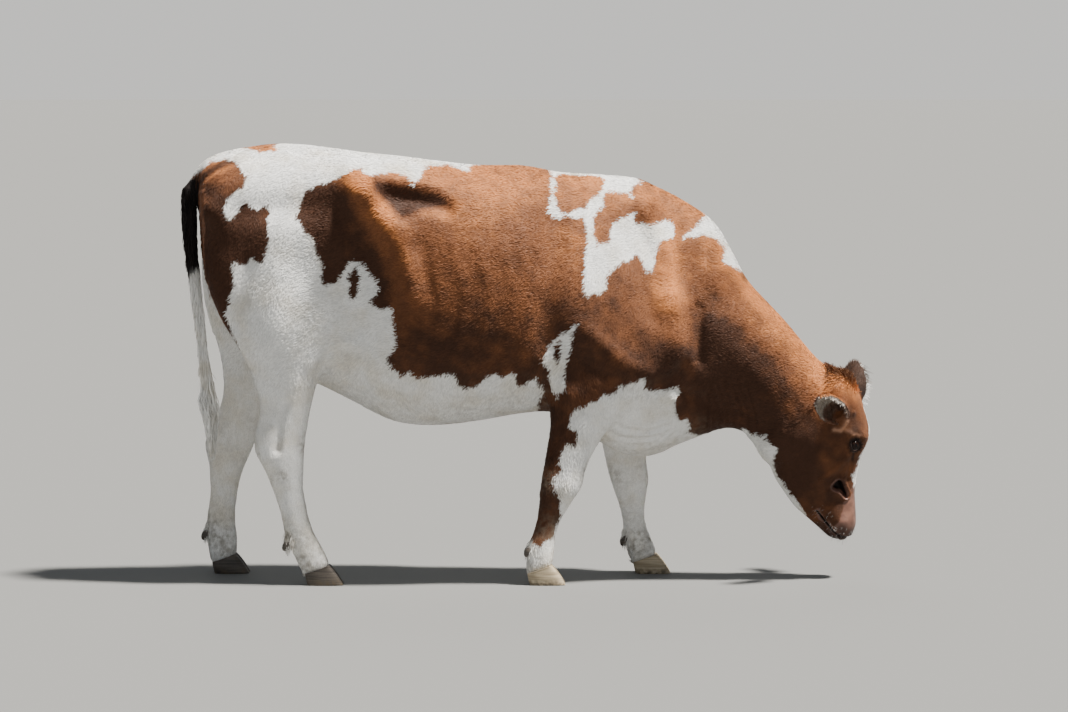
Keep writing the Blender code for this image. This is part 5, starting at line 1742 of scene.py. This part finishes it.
    def tint_ear(self, ear: EarForm, part: str, roots: Roots, rng: np.random.Generator) -> None:
        """Colour the hair of an ear.

        Args:
            ear: The ear.
            part: Where on the ear it grows.
            roots: Its roots, whose masks are changed.
            rng: Chooses the pale hairs of the rim.
        """
        masks = roots.masks
        left = ear.side > 0
        if part == "rim":
            fair = rng.uniform(size=len(roots.points)) < (0.30 if left else 0.0)
            masks["mark"] = np.where(fair, -0.05, masks["mark"])
            masks["dark"] = np.where(fair, 0.0, masks["dark"])
            if not left:
                masks["mark"] = np.full(len(roots.points), 0.05)
                masks["inner"] = 0.2 * masks["inner"]
        if part == "inside" and left:
            deep = ramp(ear.local(roots.points)[:, 0], 0.150, 0.110)
            masks["mark"] = np.where(deep > 0.5, -0.05, masks["mark"])
            for mask in ("dark", "inner"):
                masks[mask] = masks[mask] * (1.0 - deep)

    def fetlocks(self) -> None:
        """Longer hair behind the fetlocks, over the roots of the dewclaws."""
        claws = np.array([tuple(middle_of(f"dewclaw_{leg}_{part}")) for leg in LEGS
                          for part in PARTS]) + (0.0, 0.0, 0.020)
        away = np.linalg.norm(self.middles[:, None] - claws, axis=2).min(axis=1)
        self.grow("fetlock_hair", Hair(1600, 0.026, 0.0016, 0.55, 0.14, 0.55, 0.03, 4,
                                       (801, 802, 803, 804)),
                  ramp(away, 0.036, 0.014), DOWN)

    def poll(self) -> None:
        """The tuft between the ears."""
        head = HEAD.straight(self.middles)
        weights = (bell(head[:, 1] / 0.045) * ramp(head[:, 2], 0.610, 0.650)
                   * ramp(head[:, 0], 0.990, 1.012) * (head[:, 2] < 0.74))

        def darken(roots: Roots, _: np.random.Generator) -> np.ndarray:
            """Darken the top of the tuft, and shorten the hair below it.

            Args:
                roots: The roots, whose mask of dark hair is set.

            Returns:
                Shares of the full length.
            """
            high = ramp(HEAD.straight(roots.points)[:, 2], 0.625, 0.660)
            roots.masks["dark"] = 0.80 * high
            return 0.5 + 0.5 * high

        self.grow("poll_tuft", Hair(1700, 0.024, 0.0019, 0.55, 0.20, 0.30, 0.06, 5,
                                    (501, 502, 503, 504)),
                  weights, lambda roots: lie_of_hair(roots.points, roots.normals) * 0.8, darken)

    def lashes(self) -> None:
        """Lashes along both lids."""
        for name in SIDES:
            eye = Eye(name)
            rng = np.random.default_rng(600 + (name == "left"))
            angle = math.pi * np.concatenate((rng.uniform(0.10, 0.88, 110),
                                              -rng.uniform(0.15, 0.85, 44)))
            count, ball = len(angle), 0.0222
            height = np.where(angle > 0, eye.upper, eye.lower)
            along = eye.half_length * 1.06 * np.cos(angle)
            up = height * 1.10 * np.sin(angle) - 0.0022 * np.cos(angle) ** 2
            out = np.sqrt(np.maximum(ball ** 2 - along ** 2 - up ** 2, 0.00004))
            points = eye.world(np.stack((along, up, out), axis=1))
            away = np.stack((along * 0.35, up * 0.55, out), axis=1) / ball
            start = unit(away @ eye.axes() + rng.normal(0.0, 0.08, (count, 3)))
            length = np.where(angle > 0, 0.0135, 0.0065) * rng.uniform(0.7, 1.15, count)
            masks = {mask: np.zeros(count) for mask in self.masks}
            masks["dark"] += 0.95
            masks["mark"] += 0.05
            roots = Roots(points, start, masks)
            paths = self.hanging(roots, start, length, 0.12, 0.02, 5, 610)
            patches = 0.5 + 0.4 * np.stack((np.cos(angle), np.sin(angle)), axis=1)
            self.locks("lashes_" + name, roots, paths, np.full(count, 0.0007), patches, 620)

    def whiskers(self) -> None:
        """Sparse stiff hairs round the lips and on the chin."""
        head = HEAD.straight(self.middles)
        lips = reach_to_line(head[:, [0, 2]], MOUTH)
        weights = (ramp(lips, 0.045, 0.012) * (lips > 0.004) * (head[:, 0] > 0.93)
                   * (head[:, 2] < 0.25) * (np.abs(head[:, 1]) > 0.012))
        count = 260
        roots, patches = self.chosen(weights, count, 701)
        rng = np.random.default_rng(702)
        lie = lie_of_hair(roots.points, roots.normals)
        start = unit(lie * 0.6 + roots.normals + rng.normal(0.0, 0.18, (count, 3)))
        roots.masks["mark"] = np.full(count, -0.05)
        roots.masks["dark"] = rng.uniform(0.3, 1.0, count)
        paths = self.hanging(roots, start, 0.014 * rng.uniform(0.4, 1.3, count), 0.35, 0.02, 4,
                             703)
        self.locks("whiskers", roots, paths, np.full(count, 0.0005), patches, 704)

    def build(self) -> None:
        """Make all pieces of the coat."""
        for index, pelt in enumerate(PELTS):
            self.tufts(pelt, 100 + index)
        self.tail()
        self.ears()
        self.fetlocks()
        self.poll()
        self.lashes()
        self.whiskers()


@dataclass(frozen=True)
class Switch:
    """The tassel of wavy hair at the end of the tail."""

    locks: int = 1500
    rows: int = 12
    core: float = 0.012
    line: tuple = (                 # height, place ahead, spread
        (0.393, -1.044, 0.003), (0.430, -1.045, 0.008), (0.470, -1.046, 0.015),
        (0.530, -1.048, 0.026), (0.590, -1.056, 0.034), (0.640, -1.052, 0.025),
        (0.700, -1.050, 0.016), (0.760, -1.054, 0.012),
    )

    def paths(self, roots: np.ndarray) -> np.ndarray:
        """Wavy paths from the tail down to the end of the tassel.

        Args:
            roots: Where the locks grow.

        Returns:
            The points of each path.
        """
        rng = np.random.default_rng(320)
        count = len(roots)
        steps = np.linspace(0.0, 1.0, self.rows)
        heights, ahead, spread = np.array(self.line).T
        end = np.maximum(roots[:, 2] - rng.uniform(0.09, 0.30, count),
                         0.396 + 0.05 * rng.uniform(0.0, 1.0, count) ** 2)
        z = roots[:, 2:3] + (end - roots[:, 2])[:, None] * steps
        middle = np.interp(z, heights, ahead)
        reach = np.interp(z, heights, spread)
        place = np.arctan2(roots[:, 1], roots[:, 0] - np.interp(roots[:, 2], heights, ahead))
        angle = place[:, None] + rng.normal(0.0, 0.9, (count, 1)) * steps
        share = rng.uniform(0.15, 1.0, (count, 1)) ** 0.7
        grown = ramp(steps, 0.0, 0.35)
        radius = self.core * (1 - grown) + reach * share * grown
        phase = rng.uniform(0.0, 2 * math.pi, (count, 1))
        curl = 0.0055 * steps * np.sin(phase + z * rng.uniform(55.0, 110.0, (count, 1)))
        paths = np.stack((middle + np.cos(angle) * radius + curl,
                          np.sin(angle) * radius + 0.7 * curl, z), axis=2)
        paths[:, 0] = roots
        return paths


# ---- Finishes -----------------------------------------------------------------------------
class Nodes:
    """Short hand for building a node tree."""

    def __init__(self, tree: bpy.types.NodeTree) -> None:
        """Work on a tree."""
        self.tree = tree

    def add(self, kind: str, inputs: dict | None = None, **settings: object) -> bpy.types.Node:
        """Add a node.

        Args:
            kind: Its type, without the word ShaderNode.
            inputs: Values or sockets for its inputs, by name or number.
            settings: Its properties.

        Returns:
            The node.
        """
        node = self.tree.nodes.new(("" if kind.startswith("Node") else "ShaderNode") + kind)
        for name, value in settings.items():
            setattr(node, name, value)
        self.feed(node, inputs or {})
        return node

    def feed(self, node: bpy.types.Node, inputs: dict) -> None:
        """Set or link inputs of a node.

        Args:
            node: The node.
            inputs: Values or sockets for its inputs, by name or number.
        """
        for name, value in inputs.items():
            if isinstance(value, bpy.types.NodeSocket):
                self.tree.links.new(value, node.inputs[name])
            else:
                node.inputs[name].default_value = value

    def place(self, **mapping: tuple) -> bpy.types.NodeSocket:
        """Places on the object in metres, which a Mapping node may stretch or turn."""
        place = self.add("TexCoord").outputs["Object"]
        return self.add("Mapping", {"Vector": place, **mapping}).outputs[0] if mapping else place

    def maths(self, operation: str, *values: object) -> bpy.types.NodeSocket:
        """A Math node."""
        return self.add("Math", dict(enumerate(values)), operation=operation).outputs[0]

    def centred(self, value: object) -> bpy.types.NodeSocket:
        """A value that runs about 0 and not about a half."""
        return self.maths("SUBTRACT", value, 0.5)

    def mix(self, share: object, first: object, second: object,
            blend: str = "MIX") -> bpy.types.NodeSocket:
        """A mix of two colours."""
        return self.add("Mix", {0: share, 6: first, 7: second}, data_type="RGBA",
                        blend_type=blend).outputs[2]

    def band(self, value: object, low: float, high: float) -> bpy.types.NodeSocket:
        """A smooth step from 0 at low to 1 at high."""
        return self.add("MapRange", {"Value": value, "From Min": low, "From Max": high},
                        interpolation_type="SMOOTHSTEP").outputs[0]

    def kept(self, name: str) -> bpy.types.NodeSocket:
        """A number stored on the mesh."""
        return self.add("Attribute", attribute_name=name).outputs["Fac"]

    def noise(self, scale: float, detail: float = 2.0,
              vector: object = None) -> bpy.types.NodeSocket:
        """A noise texture in metres."""
        given = {"Vector": vector or self.place(), "Scale": scale, "Detail": detail}
        return self.add("TexNoise", given).outputs["Fac"]


def rgb(red: int, green: int, blue: int) -> tuple:
    """A linear colour from one given for the screen."""
    return (*(((value / 255 + 0.055) / 1.055) ** 2.4 if value > 10 else value / 255 / 12.92
              for value in (red, green, blue)), 1.0)


def new_group(name: str, inputs: dict, outputs: dict) -> tuple[bpy.types.NodeTree, Nodes]:
    """An empty shader node group.

    Args:
        name: Its name.
        inputs: Its inputs: a number, or a colour of four numbers, by name.
        outputs: Its outputs: "Float" or "Color", by name.

    Returns:
        The group and the short hand for its tree.
    """
    tree = bpy.data.node_groups.new(name, "ShaderNodeTree")
    for label, value in inputs.items():
        kind = "NodeSocketColor" if isinstance(value, tuple) else "NodeSocketFloat"
        tree.interface.new_socket(label, in_out="INPUT", socket_type=kind).default_value = value
    for label, kind in outputs.items():
        tree.interface.new_socket(label, in_out="OUTPUT", socket_type="NodeSocket" + kind)
    return tree, Nodes(tree)


@dataclass(frozen=True)
class CoatColours:
    """Colours of the hair, and the group that lays them over the skin and the tufts."""

    # The deep brown and the palest tan also serve as painted shade and painted highlight, where
    # the mask of sun-bleaching and painted light reaches them.
    deep: tuple = rgb(70, 44, 30)
    brown: tuple = rgb(130, 81, 50)
    bleached_and_lit: tuple = rgb(200, 126, 70)
    white: tuple = rgb(247, 246, 243)
    cream: tuple = rgb(232, 226, 214)
    dirt: tuple = rgb(138, 128, 112)
    black: tuple = rgb(30, 23, 21)
    inside: tuple = rgb(196, 184, 172)

    def group(self) -> bpy.types.NodeTree:
        """Build the group.

        Returns:
            A group that puts out the colour of the hair and the share of brown.
        """
        tree, nodes = new_group("hair_colour", {"Strand": 0.5, "Vary": 0.3, "Ragged": 0.006},
                                {"Color": "Color", "Brown": "Float"})
        given = nodes.add("NodeGroupInput").outputs
        strand = nodes.centred(given["Strand"])
        edge = nodes.maths("ADD", nodes.kept("mark"),
                           nodes.maths("MULTIPLY", strand, given["Ragged"]))
        edge = nodes.maths("MULTIPLY_ADD", nodes.centred(nodes.noise(260.0, 3.0)), 0.008, edge)
        brown = nodes.band(edge, -0.0016, 0.0016)
        # Sun-bleaching and painted light: low values give deep brown for painted shade, high
        # values pale tan for sun-bleaching and painted highlights.
        bleach_and_painted_light = nodes.maths("MULTIPLY_ADD", nodes.centred(nodes.noise(32.0, 3.0)), 0.30,
                           nodes.kept("bleach_and_painted_light"))
        red = nodes.mix(nodes.band(bleach_and_painted_light, 0.05, 0.55), self.deep, self.brown)
        red = nodes.mix(nodes.band(bleach_and_painted_light, 0.50, 1.0), red, self.bleached_and_lit)
        pale = nodes.mix(nodes.band(nodes.noise(9.0, 4.0), 0.40, 0.75), self.white, self.cream)
        colour = nodes.mix(brown, pale, red)
        colour = nodes.mix(nodes.maths("MULTIPLY", nodes.kept("inner"), 0.8), colour, self.inside)
        soil = nodes.band(nodes.noise(60.0, 4.0), 0.30, 0.70)
        colour = nodes.mix(nodes.maths("MULTIPLY", nodes.kept("dirt"), soil), colour, self.dirt)
        colour = nodes.mix(nodes.kept("dark"), colour, self.black)
        shade = nodes.maths("MULTIPLY_ADD", strand, given["Vary"], 1.0)
        grey = nodes.add("CombineColor", {0: shade, 1: shade, 2: shade}).outputs[0]
        nodes.add("NodeGroupOutput", {"Color": nodes.mix(1.0, colour, grey, "MULTIPLY"),
                                      "Brown": brown})
        return tree


def new_material(name: str) -> tuple[bpy.types.Material, Nodes, bpy.types.Node]:
    """A material with an empty Principled shader.

    Args:
        name: Its name.

    Returns:
        The material, the short hand for its tree, and the shader.
    """
    surface = bpy.data.materials.new(name)
    surface.use_nodes = True
    return surface, Nodes(surface.node_tree), surface.node_tree.nodes["Principled BSDF"]


@dataclass(frozen=True)
class HairFinish:
    """Short glossy hair, as on the tufts."""

    name: str = "hair"
    roughness: float = 0.62
    sheen: float = 0.10

    def build(self, group: bpy.types.NodeTree) -> bpy.types.Material:
        """Make the material.

        Args:
            group: The colours of the hair.

        Returns:
            The material.
        """
        surface, nodes, shader = new_material(self.name)
        colour = nodes.add("Group", node_tree=group)
        nodes.feed(colour, {"Strand": nodes.kept("strand"), "Vary": 0.34, "Ragged": 0.010})
        nodes.feed(shader, {"Base Color": colour.outputs["Color"], "Roughness": self.roughness,
                            "Specular IOR Level": 0.16, "Sheen Weight": self.sheen,
                            "Sheen Roughness": 0.45})
        return surface


@dataclass(frozen=True)
class HideFinish:
    """The skin under the coat: hair seen as grain, and bare moist skin on muzzle and lids."""

    name: str = "hide"
    pink: tuple = rgb(126, 90, 76)
    dusky: tuple = rgb(90, 65, 56)
    nearly_black: tuple = rgb(22, 15, 14)

    def build(self, group: bpy.types.NodeTree) -> bpy.types.Material:
        """Make the material.

        Args:
            group: The colours of the hair.

        Returns:
            The material.
        """
        surface, nodes, shader = new_material(self.name)
        lying = nodes.noise(330.0, 3.0, nodes.place(Scale=(0.22, 1.0, 0.8)))
        hanging = nodes.noise(330.0, 3.0, nodes.place(Scale=(1.0, 1.0, 0.20)))
        grain = nodes.add("Mix", {0: nodes.kept("hang"), 2: lying, 3: hanging}).outputs[0]
        colour = nodes.add("Group", node_tree=group)
        nodes.feed(colour, {"Strand": grain, "Vary": 0.55, "Ragged": 0.016})
        bare = nodes.kept("bare")
        mottle = nodes.band(nodes.noise(30.0, 4.0), 0.30, 0.72)
        flesh = nodes.mix(mottle, self.pink, self.dusky)
        flesh = nodes.mix(nodes.kept("dark"), flesh, self.nearly_black)
        pebble = nodes.add("TexVoronoi", {"Vector": nodes.place(), "Scale": 420.0})
        cells = nodes.add("TexVoronoi", {"Vector": nodes.place(), "Scale": 240.0},
                          feature="DISTANCE_TO_EDGE")
        leather = nodes.maths("MULTIPLY_ADD", nodes.band(cells.outputs["Distance"], 0.0, 0.25),
                              0.45, nodes.maths("MULTIPLY", pebble.outputs["Distance"], -0.4))
        height = nodes.add("Mix", {0: bare, 2: grain, 3: leather}).outputs[0]
        bump = nodes.add("Bump", {"Height": height, "Strength": 0.35, "Distance": 0.0015})
        wet = nodes.maths("MULTIPLY", bare, nodes.maths("SUBTRACT", 1.0, nodes.kept("dark")))
        nodes.feed(shader, {
            "Base Color": nodes.mix(bare, colour.outputs["Color"], flesh),
            "Normal": bump.outputs[0], "Roughness": nodes.maths("MULTIPLY_ADD", wet, -0.26, 0.66),
            "Coat Weight": nodes.maths("MULTIPLY", wet, 0.22), "Coat Roughness": 0.30,
            "Specular IOR Level": 0.18})
        return surface


@dataclass(frozen=True)
class HornFinish:
    """Ridged hoof horn, scuffed and soiled towards the ground."""

    name: str
    light: tuple
    dark: tuple
    soil: tuple = rgb(92, 80, 62)

    def build(self) -> bpy.types.Material:
        """Make the material.

        Returns:
            The material.
        """
        surface, nodes, shader = new_material(self.name)
        ridge = nodes.noise(190.0, 2.0, nodes.place(Rotation=(0.0, -0.32, 0.0),
                                                    Scale=(0.05, 0.05, 1.0)))
        fibre = nodes.noise(520.0, 2.0, nodes.place(Scale=(1.0, 1.0, 0.08)))
        colour = nodes.mix(nodes.band(ridge, 0.30, 0.72), self.light, self.dark)
        streaks = nodes.maths("MULTIPLY", nodes.band(fibre, 0.45, 0.65), 0.22)
        colour = nodes.mix(streaks, colour, self.dark)
        height = nodes.add("SeparateXYZ", {0: nodes.place()}).outputs[2]
        soil = nodes.maths("MULTIPLY", nodes.band(height, 0.030, 0.0),
                           nodes.band(nodes.noise(70.0, 4.0), 0.35, 0.65))
        relief = nodes.maths("MULTIPLY_ADD", fibre, 0.4, ridge)
        bump = nodes.add("Bump", {"Height": relief, "Strength": 0.4, "Distance": 0.0012})
        nodes.feed(shader, {"Base Color": nodes.mix(soil, colour, self.soil),
                            "Normal": bump.outputs[0],
                            "Roughness": nodes.maths("MULTIPLY_ADD", fibre, 0.25, 0.32)})
        return surface


@dataclass(frozen=True)
class EyeFinish:
    """A wet dark brown eye with a level pupil."""

    name: str = "eye"
    iris: tuple = rgb(44, 27, 20)
    rim: tuple = rgb(16, 11, 10)
    white: tuple = rgb(104, 84, 76)
    vein: tuple = rgb(128, 84, 74)
    pupil: tuple = rgb(8, 9, 12)

    def build(self) -> bpy.types.Material:
        """Make the material.

        Returns:
            The material.
        """
        surface, nodes, shader = new_material(self.name)
        out = nodes.kept("from_axis")
        iris = nodes.mix(nodes.band(nodes.noise(900.0, 2.0), 0.3, 0.7), self.iris, self.rim)
        colour = nodes.mix(nodes.band(out, 0.62, 0.74), iris, self.rim)
        veins = nodes.mix(nodes.band(nodes.noise(300.0, 3.0), 0.5, 0.62), self.white, self.vein)
        colour = nodes.mix(nodes.band(out, 0.80, 0.88), colour, veins)
        colour = nodes.mix(nodes.band(nodes.kept("from_pupil"), 1.1, 0.85), colour, self.pupil)
        nodes.feed(shader, {"Base Color": colour, "Roughness": 0.20, "Specular IOR Level": 0.08,
                            "Coat Weight": 0.14, "Coat Roughness": 0.04})
        return surface


# ---- Studio -------------------------------------------------------------------------------
@dataclass(frozen=True)
class Studio:
    """Camera, floor and lights."""

    camera_place: tuple = (0.0235, -16.0, 1.728)
    pitch: float = math.radians(3.53)
    lens: float = 162.88
    sensor: float = 36.0
    ambient: float = 0.24
    seen: tuple = (0.780, 0.770, 0.742, 1.0)
    sky_colour: tuple = (0.82, 0.91, 1.0, 1.0)
    floor_reach: float = 400.0
    floor_tones: tuple = ((0.191, 0.191, 0.185, 1.0), (0.211, 0.211, 0.206, 1.0))

    def build(self) -> None:
        """Make camera, floor and lights."""
        camera = bpy.data.objects.new("camera", bpy.data.cameras.new("camera"))
        camera.data.sensor_width = self.sensor
        camera.data.lens = self.lens
        camera.data.clip_end = 200.0
        camera.location = self.camera_place
        camera.rotation_euler = (math.pi / 2 - self.pitch, 0.0, 0.0)
        bpy.context.scene.collection.objects.link(camera)
        bpy.context.scene.camera = camera
        self.floor()
        self.light("key", (4.2, -1.0, 9.0), 6.0, 12.4, (1.0, 0.965, 0.91))
        self.light("fill", (2.0, -9.0, 4.0), 50.0, 0.22, (0.94, 0.97, 1.0))
        self.light("rim", (-2.0, 8.0, 6.0), 30.0, 0.7, (1.0, 0.98, 0.95))
        self.sky()

    def sky(self) -> None:
        """An even sky, which the camera sees in the tone of the floor."""
        world = bpy.data.worlds.new("studio")
        world.use_nodes = True
        nodes = Nodes(world.node_tree)
        ambient = world.node_tree.nodes["Background"]
        nodes.feed(ambient, {"Color": self.sky_colour, "Strength": self.ambient})
        seen = nodes.add("Background", {"Color": self.seen})
        path = nodes.add("LightPath")
        mix = nodes.add("MixShader", {0: path.outputs["Is Camera Ray"], 1: ambient.outputs[0],
                                      2: seen.outputs[0]})
        nodes.feed(world.node_tree.nodes["World Output"], {"Surface": mix.outputs[0]})
        bpy.context.scene.world = world

    def floor(self) -> None:
        """A wide pale floor."""
        mesh = bmesh.new()
        bmesh.ops.create_grid(mesh, x_segments=1, y_segments=1, size=self.floor_reach)
        floor = new_object("floor", mesh)
        surface, nodes, shader = new_material("pale_floor")
        patches = nodes.add("TexNoise", {"Scale": 3.0}).outputs["Fac"]
        tint = nodes.add("ValToRGB", {"Fac": patches})
        for element, colour in zip(tint.color_ramp.elements, self.floor_tones):
            element.color = colour
        nodes.feed(shader, {"Base Color": tint.outputs["Color"], "Roughness": 0.95,
                            "Specular IOR Level": 0.0})
        floor.data.materials.append(surface)

    def light(self, name: str, place: tuple, softness: float, power: float,
              colour: tuple) -> None:
        """A distant soft light.

        Args:
            name: Name of the light.
            place: Where it shines from, towards the origin.
            softness: Its width in the sky in degrees.
            power: Its strength.
            colour: Its colour.
        """
        lamp = bpy.data.lights.new(name, "SUN")
        lamp.angle, lamp.energy, lamp.color = math.radians(softness), power, colour
        thing = bpy.data.objects.new(name, lamp)
        thing.rotation_euler = (-Vector(place)).to_track_quat("-Z", "Y").to_euler()
        bpy.context.scene.collection.objects.link(thing)


def main() -> None:
    """Build the cow's looks and the studio."""
    logging.basicConfig(level=logging.INFO, format="%(message)s")
    started = time.time()
    Studio().build()
    colours = CoatColours().group()
    skin = Skin().build()
    points, normals = skin_of(skin.data)
    for name, values in Markings(points, normals).masks.items():
        store(skin.data, name, values)
    store(skin.data, "hang", np.abs(lie_of_hair(points, normals)[:, 2]))
    skin.data.materials.append(HideFinish().build(colours))
    LOG.info("skin marked after %.1f s", time.time() - started)
    Coat(skin, HairFinish().build(colours)).build()
    eye_finish = EyeFinish().build()
    pale_horn = HornFinish("pale_horn", rgb(190, 174, 146), rgb(150, 134, 108)).build()
    dark_horn = HornFinish("dark_horn", rgb(92, 84, 75), rgb(60, 53, 47)).build()
    for side in SIDES:
        Eye(side).build(eye_finish)
    for leg in LEGS:
        sign = 1.0 if leg.endswith("left") else -1.0
        horn = pale_horn if leg.startswith("fore") else dark_horn
        for part in PARTS:
            Claw(f"claw_{leg}_{part}", sign if part == "outer" else -sign).build(horn)
            Dewclaw(f"dewclaw_{leg}_{part}").build(dark_horn)
    LOG.info("built in %.1f s", time.time() - started)


if __name__ == "__main__":
    main()
